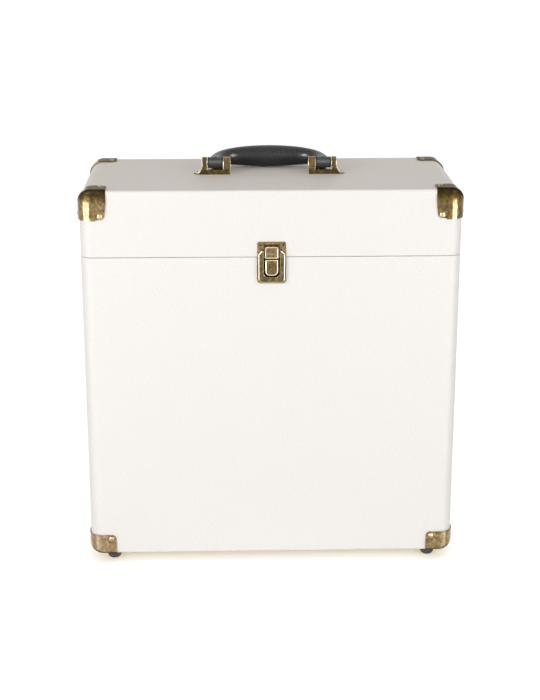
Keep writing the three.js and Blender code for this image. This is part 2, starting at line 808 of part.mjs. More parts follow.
// Hasp: a shallow channel pressing, rolled round its pin at the top
function makeHasp() {
  const half = haspWidth / 2;
  const knuckleRoom = haspKnuckleWidth / 2 + seat;
  const knuckleCavity = haspKnuckleRadius + haspKnuckleClearance;
  const front = haspPinY - haspRollRadius;
  const back = haspPinY + haspRollRadius;
  const faceOutline = roundedRect(-half, half, -haspBelowSeam, haspAboveSeam, haspCornerRadius);
  const profile = new THREE.Shape();
  profile.moveTo(front, -haspBelowSeam);
  profile.lineTo(back, -haspBelowSeam);
  profile.absarc(haspPinY, haspPinZ, haspRollRadius, 0, 2 * quarterTurn);
  const bar = sidePrism(profile, -half, half);
  const face = frontPrism(faceOutline, front - overrun, back + overrun);
  const hollow = block(
    at(-half + haspSkin, front + haspSkin, -haspBelowSeam - overrun),
    at(half - haspSkin, back + overrun, haspPinZ - haspRollRadius));
  const knuckleSlot = block(
    at(-knuckleRoom, haspPinY - knuckleCavity, haspPinZ - haspRollRadius - seat),
    at(knuckleRoom, back + overrun, haspAboveSeam + overrun));
  const bore = roundBar(
    at(-half - overrun, haspPinY, haspPinZ), at(half + overrun, haspPinY, haspPinZ),
    haspPinRadius + pinClearance, smallSides);
  const hasp = bar.intersect(face).subtract(hollow).subtract(knuckleSlot).subtract(bore);
  return meshOf('latch_hasp', geometryOf(hasp), antiqueBrass);
}

function makeHaspPin() {
  const half = haspWidth / 2 - seat;
  const pin = roundBar(
    at(-half, haspPinY, haspPinZ), at(half, haspPinY, haspPinZ), haspPinRadius, smallSides);
  return meshOf('latch_hasp_pin', geometryOf(pin), steel);
}

function makeButton() {
  const half = buttonWidth / 2;
  const top = -buttonBelowSeam;
  const bottom = top - buttonHeight;
  const back = -latchBaseProud + buttonThickness;
  const outline = new THREE.Shape();
  outline.moveTo(half, top);
  outline.lineTo(-half, top);
  outline.absarc(-half + buttonRadius, bottom + buttonRadius, buttonRadius,
    2 * quarterTurn, 3 * quarterTurn);
  outline.absarc(half - buttonRadius, bottom + buttonRadius, buttonRadius,
    3 * quarterTurn, 4 * quarterTurn);
  const plate = frontPrism(outline, -latchBaseProud, back);
  const stemEnd = buttonCupDepth - buttonTravel - seat;
  const stem = roundBar(
    at(0, back, buttonMiddleZ), at(0, stemEnd, buttonMiddleZ), buttonStemRadius, smallSides);
  return meshOf('latch_button', geometryOf(plate.add(stem)), antiqueBrass);
}

// A coil that stands in the cup behind the button, round the button's stem
function makeButtonSpring() {
  const start = -latchBaseProud + buttonThickness + seat + springWireRadius;
  const end = buttonCupDepth - seat - springWireRadius;
  const points = [];
  const steps = springTurns * coilSteps;
  for (let step = 0; step <= steps; step += 1) {
    const angle = 4 * quarterTurn * step / coilSteps;
    points.push(at(
      springRadius * Math.cos(angle),
      THREE.MathUtils.lerp(start, end, step / steps),
      buttonMiddleZ + springRadius * Math.sin(angle)));
  }
  const wire = new THREE.Shape();
  for (let side = 0; side < coilSides; side += 1) {
    const angle = 4 * quarterTurn * side / coilSides;
    const x = springWireRadius * Math.cos(angle);
    const y = springWireRadius * Math.sin(angle);
    if (side === 0) {
      wire.moveTo(x, y);
    } else {
      wire.lineTo(x, y);
    }
  }
  const geometry = new THREE.ExtrudeGeometry(wire, {
    steps, bevelEnabled: false, extrudePath: new THREE.CatmullRomCurve3(points),
  });
  return meshOf('latch_spring', geometryOf(solidOf(geometry)), steel);
}

function makeLatch() {
  const holder = new THREE.Group();
  holder.position.set(0, -halfDepth, seamZ);
  holder.add(
    makeLatchLidPlate(), makeLatchBase(), makeHasp(), makeHaspPin(), makeButton(),
    makeButtonSpring());
  return holder;
}

// Rear hinge, drawn about its axis with the case towards -Y: two knuckles on the body
// leaf, one between them on the lid leaf
function hingeLeaf(isLid) {
  const half = hingeWidth / 2;
  const knuckleHalf = hingeLidKnuckle / 2;
  const up = isLid ? 1 : -1;
  const back = -hingeAxisBehind + seat + hingeLeafThickness;
  const front = -hingeAxisBehind + seat;
  const clear = hingeKnuckleRadius + seat;
  const low = Math.min(0, up * hingeLeafHeight);
  const high = Math.max(0, up * hingeLeafHeight);
  let leaf = frontPrism(
    roundedRect(-half, half, low, high, hingeLeafRadius), front, back);
  leaf = leaf.subtract(block(
    at(-half - overrun, front - overrun, -clear), at(half + overrun, back + overrun, clear)));
  const ownSpans = isLid
    ? [[-knuckleHalf + seat, knuckleHalf - seat]]
    : [[-half, -knuckleHalf], [knuckleHalf, half]];
  for (const [from, to] of ownSpans) {
    leaf = leaf.add(roundBar(at(from, 0, 0), at(to, 0, 0), hingeKnuckleRadius, roundSides));
    const webLow = Math.min(0, up * (clear + hingeLeafThickness));
    const webHigh = Math.max(0, up * (clear + hingeLeafThickness));
    leaf = leaf.add(block(at(from, front, webLow), at(to, back, webHigh)));
  }
  leaf = leaf.subtract(roundBar(
    at(-half - overrun, 0, 0), at(half + overrun, 0, 0), hingePinRadius + pinClearance, smallSides));
  for (const x of [-hingeScrewSpacing / 2, 0, hingeScrewSpacing / 2]) {
    const z = up * (hingeLeafHeight - hingeScrewFromEdge);
    leaf = leaf.subtract(roundBar(
      at(x, front - overrun, z), at(x, back + overrun, z), hingeScrewRadius, holeSides));
  }
  return geometryOf(leaf);
}

function hingePin() {
  const half = hingeWidth / 2;
  const headStart = half + seat;
  const headEnd = headStart + hingePinHeadLength;
  const shaft = roundBar(at(-headStart, 0, 0), at(headStart, 0, 0), hingePinRadius, smallSides);
  const leftHead = roundBar(
    at(-headEnd, 0, 0), at(-headStart, 0, 0), hingePinHeadRadius, smallSides);
  const rightHead = roundBar(
    at(headStart, 0, 0), at(headEnd, 0, 0), hingePinHeadRadius, smallSides);
  return geometryOf(shaft.add(leftHead).add(rightHead));
}

function makeHinges() {
  const group = new THREE.Group();
  const bodyLeaf = hingeLeaf(false);
  const lidLeaf = hingeLeaf(true);
  const pin = hingePin();
  for (const side of ['left', 'right']) {
    const sign = side === 'left' ? -1 : 1;
    const holder = new THREE.Group();
    holder.position.set(sign * hingeSpacing / 2, halfDepth + hingeAxisBehind, seamZ);
    holder.add(
      meshOf(`hinge_body_leaf_${side}`, bodyLeaf, antiqueBrass),
      meshOf(`hinge_lid_leaf_${side}`, lidLeaf, antiqueBrass),
      meshOf(`hinge_pin_${side}`, pin, steel));
    group.add(holder);
  }
  return group;
}

// The whole case, shifted so that the origin stays under the middle of what stands
// proud of the front and the back
const proudOfBack = hingeAxisBehind + hingeKnuckleRadius;
const proudOfFront = Math.max(latchBaseProud, -(haspPinY - haspRollRadius));
const recordCase = new THREE.Group();
recordCase.position.set(0, (proudOfFront - proudOfBack) / 2, 0);
recordCase.add(
  makeBodyShell(), makeBodyLining(), makeMouthLip(), makeLidShell(), makeLidLining(),
  makeCorners(), makeFeet(), makeHandleHardware(), makeHandle(), makeLatch(), makeHinges());

export default recordCase;
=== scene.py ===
import json
import math

import bmesh
import bpy
from mathutils import Matrix, Vector


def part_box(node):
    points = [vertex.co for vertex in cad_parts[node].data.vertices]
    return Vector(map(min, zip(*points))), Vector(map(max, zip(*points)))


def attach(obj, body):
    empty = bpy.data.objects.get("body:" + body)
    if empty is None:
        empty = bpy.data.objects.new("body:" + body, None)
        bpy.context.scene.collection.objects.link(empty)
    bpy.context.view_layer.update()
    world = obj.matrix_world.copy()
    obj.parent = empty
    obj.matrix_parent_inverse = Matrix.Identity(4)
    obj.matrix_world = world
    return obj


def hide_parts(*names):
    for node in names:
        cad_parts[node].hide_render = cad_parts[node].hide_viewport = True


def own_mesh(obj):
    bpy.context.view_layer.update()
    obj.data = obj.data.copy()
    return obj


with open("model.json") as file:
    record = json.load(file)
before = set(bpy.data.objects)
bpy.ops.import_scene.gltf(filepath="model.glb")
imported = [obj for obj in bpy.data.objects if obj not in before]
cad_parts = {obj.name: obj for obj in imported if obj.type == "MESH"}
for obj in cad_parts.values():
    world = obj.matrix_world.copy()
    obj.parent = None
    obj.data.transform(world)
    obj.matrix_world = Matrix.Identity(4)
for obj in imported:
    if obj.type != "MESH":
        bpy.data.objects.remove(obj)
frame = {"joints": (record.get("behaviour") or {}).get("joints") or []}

# A board case for records, covered in cream leatherette: stamped brass corners with domed nails,
# a press latch, a moulded handle that folds down on its brackets, rubber feet and rear hinges.
# Sizes are in metres. Most come from the boxes of the CAD nodes that the pieces dress.

MM = 0.001
LEFT = Vector((-1, 0, 0))
RIGHT = Vector((1, 0, 0))
FRONT = Vector((0, -1, 0))
BACK = Vector((0, 1, 0))
UP = Vector((0, 0, 1))
DOWN = Vector((0, 0, -1))
QUARTER = math.pi / 2
SIDES = (("left", -1), ("right", 1))

# How close two points count as one, a point lies in a plane, and a cut goes through a point
SAME_POINT = 1e-6
SAME_PLANE = 1e-5
CUT_THROUGH = 1e-7

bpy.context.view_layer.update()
body_low, body_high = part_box("body_shell")
lid_low, lid_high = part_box("lid_shell")
spring_low, spring_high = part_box("latch_spring")
joints = {joint["name"]: joint for joint in frame["joints"]}

HALF_WIDTH = lid_high.x
HALF_DEPTH = lid_high.y
SEAM = (body_high.z + lid_low.z) / 2
CUP_Z = (spring_low.z + spring_high.z) / 2
BOARD = 7 * MM
SIDE_ROUND = 12.5 * MM
FRONT_ROUND = 2.5 * MM


# Shaping

def whole(bm):
    return bm.verts[:] + bm.edges[:] + bm.faces[:]


def new_verts(made):
    return [item for item in made["geom"] if isinstance(item, bmesh.types.BMVert)]


def middle_of(face):
    return face.calc_center_median()


def marks(bm, name):
    """Marks on faces, for the finishes: one paints a pale tone, for scuffed edges and as a painted
    highlight; the other paints near black, as painted shade and painted dark reflections.
    """
    return bm.faces.layers.float.get(name) or bm.faces.layers.float.new(name)


def put_marks(faces, layer, amount):
    for face in faces:
        face[layer] = amount


def block(low, high):
    low, high = Vector(low), Vector(high)
    bm = bmesh.new()
    marks(bm, "wear_and_highlight")
    bmesh.ops.create_cube(bm, size=1)
    bmesh.ops.scale(bm, verts=bm.verts[:], vec=high - low)
    shift(bm, (low + high) / 2)
    return bm


def shift(bm, offset):
    bmesh.ops.translate(bm, verts=bm.verts[:], vec=offset)


def outwards(bm):
    bmesh.ops.recalc_face_normals(bm, faces=bm.faces[:])


def join(bm, other):
    mesh = bpy.data.meshes.new("joined")
    other.to_mesh(mesh)
    other.free()
    bm.from_mesh(mesh)
    bpy.data.meshes.remove(mesh)


def split(bm, point, normal):
    bmesh.ops.bisect_plane(bm, geom=whole(bm), dist=CUT_THROUGH, plane_co=point, plane_no=normal)


def shave(bm, point, normal, faces=None):
    """Take off what stands beyond the plane and close the cut."""
    geom = whole(bm)
    if faces is not None:
        edges = {edge for face in faces for edge in face.edges}
        verts = {vert for face in faces for vert in face.verts}
        geom = list(verts) + list(edges) + list(faces)
    bmesh.ops.bisect_plane(
        bm, geom=geom, dist=CUT_THROUGH, plane_co=point, plane_no=normal, clear_outer=True)
    bmesh.ops.holes_fill(bm, edges=[edge for edge in bm.edges if edge.is_boundary], sides=0)


def between(first, second, share):
    return first * math.cos(share * QUARTER) + second * math.sin(share * QUARTER)


def round_edge(bm, tip, first, second, radius, steps):
    """Round the edge through tip, where the faces looking first and second meet."""
    centre = tip - (first + second) * radius
    for step in range(steps):
        normal = between(first, second, (step + 0.5) / steps)
        shave(bm, centre + normal * radius, normal)


def bevel(bm, geom, width, steps, affect="EDGES", clamp=False):
    return bmesh.ops.bevel(
        bm, geom=geom, offset=width, offset_type="OFFSET", segments=steps, profile=0.5,
        affect=affect, clamp_overlap=clamp, material=-1)


def ease(bm, edges, width, steps=2, worn_and_highlit=1.0):
    """Round the edges and mark the new faces to be painted pale: scuffing, and a painted highlight along
    the edge.
    """
    wear_and_highlight = marks(bm, "wear_and_highlight")
    made = bevel(bm, edges, width, steps, clamp=True)
    put_marks(made["faces"], wear_and_highlight, worn_and_highlit)


def sharp_edges(bm, least=50):
    limit = math.radians(least)
    return [edge for edge in bm.edges if len(edge.link_faces) == 2 and edge.calc_face_angle() > limit]


def edges_at(bm, axis, place, least=50):
    """Sharp edges that lie in the plane where the axis coordinate is place."""
    return [
        edge for edge in sharp_edges(bm, least)
        if all(abs(vert.co[axis] - place) < SAME_PLANE for vert in edge.verts)]


def widest_face(bm, look):
    facing = [face for face in bm.faces if face.normal.dot(look) > 0.99]
    return max(facing, key=lambda face: face.calc_area())


def turned(profile, steps):
    """Spin a profile of (radius, height), from the Z axis back to the Z axis."""
    bm = bmesh.new()
    points = [bm.verts.new((radius, 0, height)) for radius, height in profile]
    lines = [bm.edges.new(pair) for pair in zip(points, points[1:])]
    bmesh.ops.spin(
        bm, geom=points + lines, cent=(0, 0, 0), axis=(0, 0, 1), angle=2 * math.pi,
        steps=steps, use_merge=True)
    bmesh.ops.remove_doubles(bm, verts=bm.verts[:], dist=SAME_POINT)
    outwards(bm)
    return bm


def stand(bm, place, outward):
    """Move a turned piece so that it stands at place and looks outward."""
    turn = UP.rotation_difference(outward).to_matrix().to_4x4()
    bmesh.ops.transform(bm, matrix=Matrix.Translation(place) @ turn, verts=bm.verts[:])
    return bm


def turned_pin(node, end, steps):
    """A pin along X, as long as its node. Both its ends follow the points (radius, depth) of end."""
    low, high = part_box(node)
    half = (high.x - low.x) / 2
    near = [(radius, depth - half) for radius, depth in end]
    far = [(radius, -height) for radius, height in reversed(near)]
    return stand(turned(near + far, steps), (low + high) / 2, RIGHT)


def plate(corners, back, front, holes=()):
    """A plate in the front view: corners are (x, z, radius), holes are (x, z, radius)."""
    bm = bmesh.new()
    marks(bm, "wear_and_highlight")
    points = [bm.verts.new((x, back, z)) for x, z, radius in corners]
    bm.faces.new(points)
    for point, (x, z, radius) in zip(points, corners):
        if radius:
            bevel(bm, [point], radius, 8, "VERTICES")
    if holes:
        bmesh.ops.delete(bm, geom=bm.faces[:], context="FACES_ONLY")
        for x, z, radius in holes:
            turn = Matrix.Translation((x, back, z)) @ Matrix.Rotation(QUARTER, 4, "X")
            bmesh.ops.create_circle(bm, cap_ends=False, radius=radius, segments=24, matrix=turn)
        bmesh.ops.triangle_fill(bm, edges=bm.edges[:], use_beauty=True, use_dissolve=False)
    made = bmesh.ops.extrude_face_region(bm, geom=bm.faces[:])
    bmesh.ops.translate(bm, verts=new_verts(made), vec=(0, front - back, 0))
    outwards(bm)
    return bm


def ring_place(station):
    centre, ahead, side, width, height = station
    up = ahead.cross(side)
    turn = Matrix((side * width, up * height, ahead * width)).transposed().to_4x4()
    return Matrix.Translation(centre) @ turn


def swept(stations, sides):
    """Carry a ring through stations of (centre, ahead, side, half width, half height)."""
    bm = bmesh.new()
    bmesh.ops.create_circle(
        bm, cap_ends=True, radius=1, segments=sides, matrix=ring_place(stations[0]))
    ring = bm.edges[:]
    for before, after in zip(stations, stations[1:]):
        made = bmesh.ops.extrude_edge_only(bm, edges=ring)
        fresh = set(new_verts(made))
        step = ring_place(after) @ ring_place(before).inverted()
        bmesh.ops.transform(bm, matrix=step, verts=list(fresh))
        ring = [
            item for item in made["geom"]
            if isinstance(item, bmesh.types.BMEdge) and set(item.verts) <= fresh]
    bmesh.ops.holes_fill(bm, edges=ring, sides=0)
    outwards(bm)
    return bm


def smooth_step(value):
    value = min(max(value, 0), 1)
    return value * value * (3 - 2 * value)


def add_object(name, data):
    added = bpy.data.objects.new(name, data)
    bpy.context.scene.collection.objects.link(added)
    return added


def dress(name, bm, finish, body, nodes=(), sharp=38):
    """Make the finished piece: its object, finish and body, and hide the nodes it stands for."""
    limit = math.radians(sharp)
    for face in bm.faces:
        face.smooth = True
    for edge in bm.edges:
        edge.smooth = len(edge.link_faces) == 2 and edge.calc_face_angle() < limit
    mesh = bpy.data.meshes.new(name)
    bm.to_mesh(mesh)
    bm.free()
    mesh.materials.append(finish)
    piece = add_object(name, mesh)
    even = piece.modifiers.new("even shading", "WEIGHTED_NORMAL")
    even.keep_sharp = True
    even.weight = 50
    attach(piece, body)
    if nodes:
        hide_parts(*nodes)
    return piece


# Finishes

class Finish:
    """A material with short calls for the nodes that all finishes here use."""

    def __init__(self, name):
        self.material = bpy.data.materials.new(name)
        self.material.use_nodes = True
        self.nodes = self.material.node_tree.nodes
        self.links = self.material.node_tree.links
        self.shader = self.nodes["Principled BSDF"]
        self.coords = self.nodes.new("ShaderNodeTexCoord").outputs["Object"]

    def stretched(self, scale):
        node = self.nodes.new("ShaderNodeMapping")
        node.inputs["Scale"].default_value = scale
        self.links.new(self.coords, node.inputs["Vector"])
        return node.outputs["Vector"]

    def noise(self, scale, detail=4, roughness=0.55, coords=None):
        node = self.nodes.new("ShaderNodeTexNoise")
        node.inputs["Scale"].default_value = scale
        node.inputs["Detail"].default_value = detail
        node.inputs["Roughness"].default_value = roughness
        self.links.new(coords or self.coords, node.inputs["Vector"])
        return node.outputs["Fac"]

    def cells(self, scale, coords=None):
        node = self.nodes.new("ShaderNodeTexVoronoi")
        node.inputs["Scale"].default_value = scale
        self.links.new(coords or self.coords, node.inputs["Vector"])
        return node.outputs["Distance"]

    def threads(self, scale, direction):
        node = self.nodes.new("ShaderNodeTexWave")
        node.bands_direction = direction
        node.inputs["Scale"].default_value = scale
        node.inputs["Distortion"].default_value = 0.6
        node.inputs["Detail Scale"].default_value = 2
        self.links.new(self.coords, node.inputs["Vector"])
        return node.outputs["Fac"]

    def math(self, operation, first, second):
        node = self.nodes.new("ShaderNodeMath")
        node.operation = operation
        for socket, value in zip(node.inputs, (first, second)):
            if isinstance(value, (int, float)):
                socket.default_value = value
            else:
                self.links.new(value, socket)
        return node.outputs["Value"]

    def weighed(self, first, first_share, second, second_share):
        """The sum of two values, each times its share."""
        first_part = self.math("MULTIPLY", first, first_share)
        return self.math("ADD", first_part, self.math("MULTIPLY", second, second_share))

    def tones(self, value, *shades, places=(0.3, 0.7)):
        """Shades from dark to pale, each at its place on the value."""
        node = self.nodes.new("ShaderNodeValToRGB")
        points = node.color_ramp.elements
        while len(points) < len(shades):
            points.new(0.5)
        for point, place, shade in zip(points, places, shades):
            point.position = place
            point.color = (*shade, 1)
        self.links.new(value, node.inputs["Fac"])
        return node.outputs["Color"]

    def span(self, value, low, high, from_low=0.3, from_high=0.7):
        """Spread the value's range from_low to from_high over the range low to high."""
        node = self.nodes.new("ShaderNodeMapRange")
        node.inputs["From Min"].default_value = from_low
        node.inputs["From Max"].default_value = from_high
        node.inputs["To Min"].default_value = low
        node.inputs["To Max"].default_value = high
        self.links.new(value, node.inputs["Value"])
        return node.outputs["Result"]

    def mix(self, share, base, over):
        node = self.nodes.new("ShaderNodeMix")
        node.data_type = "RGBA"
        self.links.new(share, node.inputs["Factor"])
        self.links.new(base, node.inputs[6])
        node.inputs[7].default_value = (*over, 1)
        return node.outputs[2]

    def attribute(self, name):
        node = self.nodes.new("ShaderNodeAttribute")
        node.attribute_name = name
        return node.outputs["Fac"]

    def colour(self, value):
        self.links.new(value, self.shader.inputs["Base Color"])

    def rough(self, value):
        self.links.new(value, self.shader.inputs["Roughness"])

    def bumps(self, *heights):
        """Lay bumps of (height, strength, depth) over each other."""
        below = None
        for height, strength, depth in heights:
            node = self.nodes.new("ShaderNodeBump")
            node.inputs["Strength"].default_value = strength
            node.inputs["Distance"].default_value = depth
            self.links.new(height, node.inputs["Height"])
            if below:
                self.links.new(below, node.inputs["Normal"])
            below = node.outputs["Normal"]
        self.links.new(below, self.shader.inputs["Normal"])

    def fix(self, name, value):
        self.shader.inputs[name].default_value = value


def cream_leatherette():
    hollows = (0.80, 0.785, 0.755)
    crests = (0.905, 0.893, 0.868)
    aged = (0.87, 0.852, 0.82)
    finish = Finish("cream leatherette")
    along = finish.stretched((0.4, 1, 1))
    grain = finish.noise(scale=1500, detail=3, roughness=0.6, coords=along)
    pores = finish.cells(scale=900, coords=along)
    cloud = finish.noise(scale=9, detail=3)
    fine = finish.tones(grain, hollows, crests, places=(0.3, 0.6))
    finish.colour(finish.mix(finish.span(cloud, 0, 0.12), fine, aged))
    finish.rough(finish.span(grain, 0.62, 0.48))
    finish.bumps((pores, 0.5, -0.14 * MM), (grain, 0.4, 0.08 * MM))
    finish.fix("Specular IOR Level", 0.35)
    return finish.material


def lining_cloth():
    gaps = (0.014, 0.013, 0.013)
    yarn = (0.05, 0.047, 0.045)
    thread_scale = 420
    finish = Finish("lining cloth")
    across = finish.threads(thread_scale, "X")
    upward = finish.threads(thread_scale, "Z")
    depthwise = finish.threads(thread_scale, "Y")
    weave = finish.math("MULTIPLY", finish.math("ADD", across, depthwise), upward)
    cloud = finish.noise(scale=30)
    height = finish.math("ADD", finish.math("MULTIPLY", weave, 0.3), cloud)
    finish.colour(finish.tones(height, gaps, yarn, places=(0.35, 1.0)))
    finish.rough(finish.span(cloud, 0.8, 0.95))
    finish.bumps((weave, 0.5, 0.15 * MM))
    finish.fix("Sheen Weight", 0.2)
    return finish.material


def antique_brass(name, shades, gloss=(0.16, 0.27)):
    """Old brass: shades go from the darkest to the palest of its fine blotches."""
    # A pale tone for scuffed edges and painted highlights, and near black for painted shade and painted
    # dark reflections
    rubbed_and_highlight_tone = (0.92, 0.79, 0.55)
    painted_shade_tone = (0.012, 0.008, 0.004)
    full_coat = 0.6
    finish = Finish(name)
    blotch = finish.noise(scale=330, detail=6, roughness=0.66)
    speck = finish.noise(scale=1500, detail=3, roughness=0.6)
    cloud = finish.noise(scale=110, detail=3)
    patina = finish.weighed(blotch, 0.7, cloud, 0.3)
    base = finish.tones(patina, *shades, places=(0.38, 0.46, 0.53, 0.62))
    # The pale tone goes where faces are scuffed or carry a painted highlight; the near-black tone is
    # painted shade, which also takes the coat off
    worn_and_highlit = finish.attribute("wear_and_highlight")
    rubbed_and_highlit = finish.math("MULTIPLY", worn_and_highlit, finish.span(speck, 0.8, 1.0))
    bright = finish.mix(rubbed_and_highlit, base, rubbed_and_highlight_tone)
    painted_shade = finish.math("MULTIPLY", finish.attribute("painted_shade"), finish.span(speck, 1.0, 0.9))
    finish.colour(finish.mix(painted_shade, bright, painted_shade_tone))
    even = finish.span(finish.math("ADD", speck, blotch), *gloss, 0.7, 1.3)
    finish.rough(finish.math("ADD", even, finish.weighed(painted_shade, 0.3, worn_and_highlit, 0.18)))
    finish.bumps((blotch, 0.1, 0.04 * MM), (speck, 0.08, 0.02 * MM))
    finish.fix("Metallic", 1.0)
    coat = finish.math("MAXIMUM", finish.math("SUBTRACT", full_coat, painted_shade), 0)
    finish.links.new(coat, finish.shader.inputs["Coat Weight"])
    finish.fix("Coat Roughness", 0.12)
    return finish.material


def black_grip():
    gaps = (0.004, 0.004, 0.004)
    finish = Finish("black grip")
    pebble = finish.cells(scale=750)
    fine = finish.noise(scale=2200, detail=3)
    cloud = finish.noise(scale=60, detail=3)
    tone = finish.tones(cloud, (0.016, 0.016, 0.017), (0.028, 0.028, 0.029))
    # The creases between the pebbles are painted darker: painted shade
    finish.colour(finish.mix(finish.span(pebble, 0, 1, 0.35, 0.75), tone, gaps))
    finish.rough(finish.span(fine, 0.26, 0.36))
    finish.bumps((pebble, 0.45, -0.2 * MM), (fine, 0.12, 0.04 * MM))
    finish.fix("Specular IOR Level", 0.4)
    return finish.material


def ribbed_black():
    finish = Finish("ribbed black")
    fine = finish.noise(scale=1600, detail=3)
    streak = finish.noise(scale=500, detail=3, roughness=0.5, coords=finish.stretched((0.2, 1, 1)))
    finish.colour(finish.tones(streak, (0.032, 0.033, 0.035), (0.058, 0.059, 0.063)))
    finish.rough(finish.span(fine, 0.38, 0.55))
    finish.bumps((fine, 0.3, 0.05 * MM))
    finish.fix("Specular IOR Level", 0.35)
    return finish.material


def dark_rubber():
    finish = Finish("dark rubber")
    fine = finish.noise(scale=1300)
    cloud = finish.noise(scale=120, detail=3)
    finish.colour(finish.tones(cloud, (0.036, 0.033, 0.033), (0.07, 0.063, 0.062)))
    finish.rough(finish.span(fine, 0.5, 0.72))
    finish.bumps((fine, 0.35, 0.06 * MM))
    return finish.material


def plain_steel():
    finish = Finish("plain steel")
    streak = finish.noise(scale=300, roughness=0.6, coords=finish.stretched((8, 1, 1)))
    finish.colour(finish.tones(streak, (0.30, 0.30, 0.29), (0.55, 0.54, 0.52)))
    finish.rough(finish.span(streak, 0.25, 0.42))
    finish.bumps((streak, 0.2, 0.02 * MM))
    finish.fix("Metallic", 1.0)
    return finish.material


BRASS_SHADES = (
    (0.09, 0.055, 0.015), (0.165, 0.106, 0.034), (0.24, 0.161, 0.055), (0.355, 0.248, 0.095))
DARK_SHADES = (
    (0.053, 0.03, 0.004), (0.094, 0.058, 0.01), (0.145, 0.093, 0.02), (0.23, 0.155, 0.043))
PALE_SHADES = (
    (0.165, 0.102, 0.042), (0.24, 0.155, 0.067), (0.315, 0.21, 0.098), (0.445, 0.314, 0.165))
LEATHERETTE = cream_leatherette()
LINING = lining_cloth()
BRASS = antique_brass("antique brass", BRASS_SHADES)
DARK_BRASS = antique_brass("dark antique brass", DARK_SHADES)
PALE_BRASS = antique_brass("pale antique brass", PALE_SHADES)
NAIL_BRASS = antique_brass("nail brass", PALE_SHADES, gloss=(0.36, 0.46))
GRIP = black_grip()
BARREL = ribbed_black()
RUBBER = dark_rubber()
STEEL = plain_steel()


# Covered board and linings

def eased_corner(size, grow, side_steps=14, front_steps=4):
    """The case's left, front, top corner as an open skin. The case's corner point is the origin."""
    least_round = 1.5 * MM
    side = SIDE_ROUND + grow
    eased = max(FRONT_ROUND + grow, least_round)
    tip = Vector((-grow, -grow, grow))
    bm = block((-grow, -grow, -size.z), (size.x, size.y, grow))
    round_edge(bm, tip, LEFT, UP, side, side_steps)
    round_edge(bm, tip, LEFT, FRONT, side, side_steps)
    round_edge(bm, tip, FRONT, UP, eased, front_steps)
    for step in range(side_steps):
        share = (step + 0.5) / side_steps
        above = between(LEFT, UP, share)
        ahead = between(LEFT, FRONT, share)
        turn = share * QUARTER
        crease = tip + (RIGHT + BACK + DOWN) * side
        crease += (LEFT * math.cos(turn) + (FRONT + UP) * math.sin(turn)) * side
        ball = crease - (above + ahead) * eased / (1 + above.dot(ahead))
        for lean in range(front_steps):
            normal = ahead.lerp(above, (lean + 0.5) / front_steps).normalized()
            shave(bm, ball + normal * eased, normal)
    far = [
        face for face in bm.faces
        if max(face.normal.dot(RIGHT), face.normal.dot(BACK), face.normal.dot(DOWN)) > 0.99]
    bmesh.ops.delete(bm, geom=far, context="FACES")
    return bm


def case_skin(height, grow):
    """The whole outside of a case part that is open underneath. Its closed end is at the origin."""
    bm = eased_corner(Vector((HALF_WIDTH, HALF_DEPTH, height)), grow)
    shift(bm, (-HALF_WIDTH, -HALF_DEPTH, 0))
    for axis in "XY":
        bmesh.ops.mirror(
            bm, geom=whole(bm), matrix=Matrix.Identity(4), merge_dist=SAME_POINT, axis=axis)
    bmesh.ops.remove_doubles(bm, verts=bm.verts[:], dist=SAME_POINT)
    outwards(bm)
    return bm


def hollow_part(height, outer, inner, rim_round):
    """Skins at outer and inner from the case's faces, joined round the rim."""
    bm = case_skin(height, outer)
    inside = case_skin(height, inner)
    bmesh.ops.reverse_faces(inside, faces=inside.faces[:])
    join(bm, inside)
    bmesh.ops.bridge_loops(bm, edges=[edge for edge in bm.edges if edge.is_boundary])
    bevel(bm, edges_at(bm, 2, -height), rim_round, 3)
    return bm


def body_part(high, outer, inner, rim_round):
    """A hollow part that stands on the body's floor and is open at the top."""
    bm = hollow_part(high - body_low.z, outer, inner, rim_round)
    half_turn = Matrix.Rotation(math.pi, 3, "X")
    bmesh.ops.rotate(bm, verts=bm.verts[:], cent=(0, 0, 0), matrix=half_turn)
    shift(bm, (0, 0, body_low.z))
    return bm


def lid_part(low, outer, inner, rim_round):
    """A hollow part that hangs from the lid's top and is open underneath."""
    bm = hollow_part(lid_high.z - low, outer, inner, rim_round)
    shift(bm, (0, 0, lid_high.z))
    return bm


def pocket(bm, centre, half, depth):
    """A square pocket in the front face, for the cup behind the latch."""
    for side in (-1, 1):
        split(bm, centre + RIGHT * side * half, RIGHT)
        split(bm, centre + UP * side * half, UP)
    inside = [
        face for face in bm.faces
        if face.normal.dot(FRONT) > 0.99
        and (middle_of(face) - centre).length < half
        and abs(middle_of(face).y - centre.y) < 1 * MM]
    made = bmesh.ops.extrude_face_region(bm, geom=inside)
    bmesh.ops.translate(bm, verts=new_verts(made), vec=BACK * depth)
    bmesh.ops.delete(bm, geom=inside, context="FACES")
    outwards(bm)


def covered_board():
    """The two covered shells. Their padded rims leave a fine seam."""
    rim_round = 0.5 * MM
    padding = 0.15 * MM
    body = body_part(body_high.z + padding, 0, -BOARD, rim_round)
    pocket(body, Vector((0, body_low.y, CUP_Z)), 5.5 * MM, 5.9 * MM)
    dress("body_cover", body, LEATHERETTE, "case_body", ["body_shell"])
    lid = lid_part(lid_low.z - padding, 0, -BOARD, rim_round)
    dress("lid_cover", lid, LEATHERETTE, "lid", ["lid_shell"])


def cloth_linings():
    cloth_round = 0.3 * MM
    cloth_thick = 1 * MM
    body_cloth_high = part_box("body_lining")[1]
    lid_cloth_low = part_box("lid_lining")[0]
    outer = body_cloth_high.x - HALF_WIDTH
    inner = outer - cloth_thick
    cloth = body_part(body_cloth_high.z, outer, inner, cloth_round)
    dress("body_cloth", cloth, LINING, "case_body", ["body_lining"])
    cloth = lid_part(lid_cloth_low.z, outer, inner, cloth_round)
    dress("lid_cloth", cloth, LINING, "lid", ["lid_lining"])


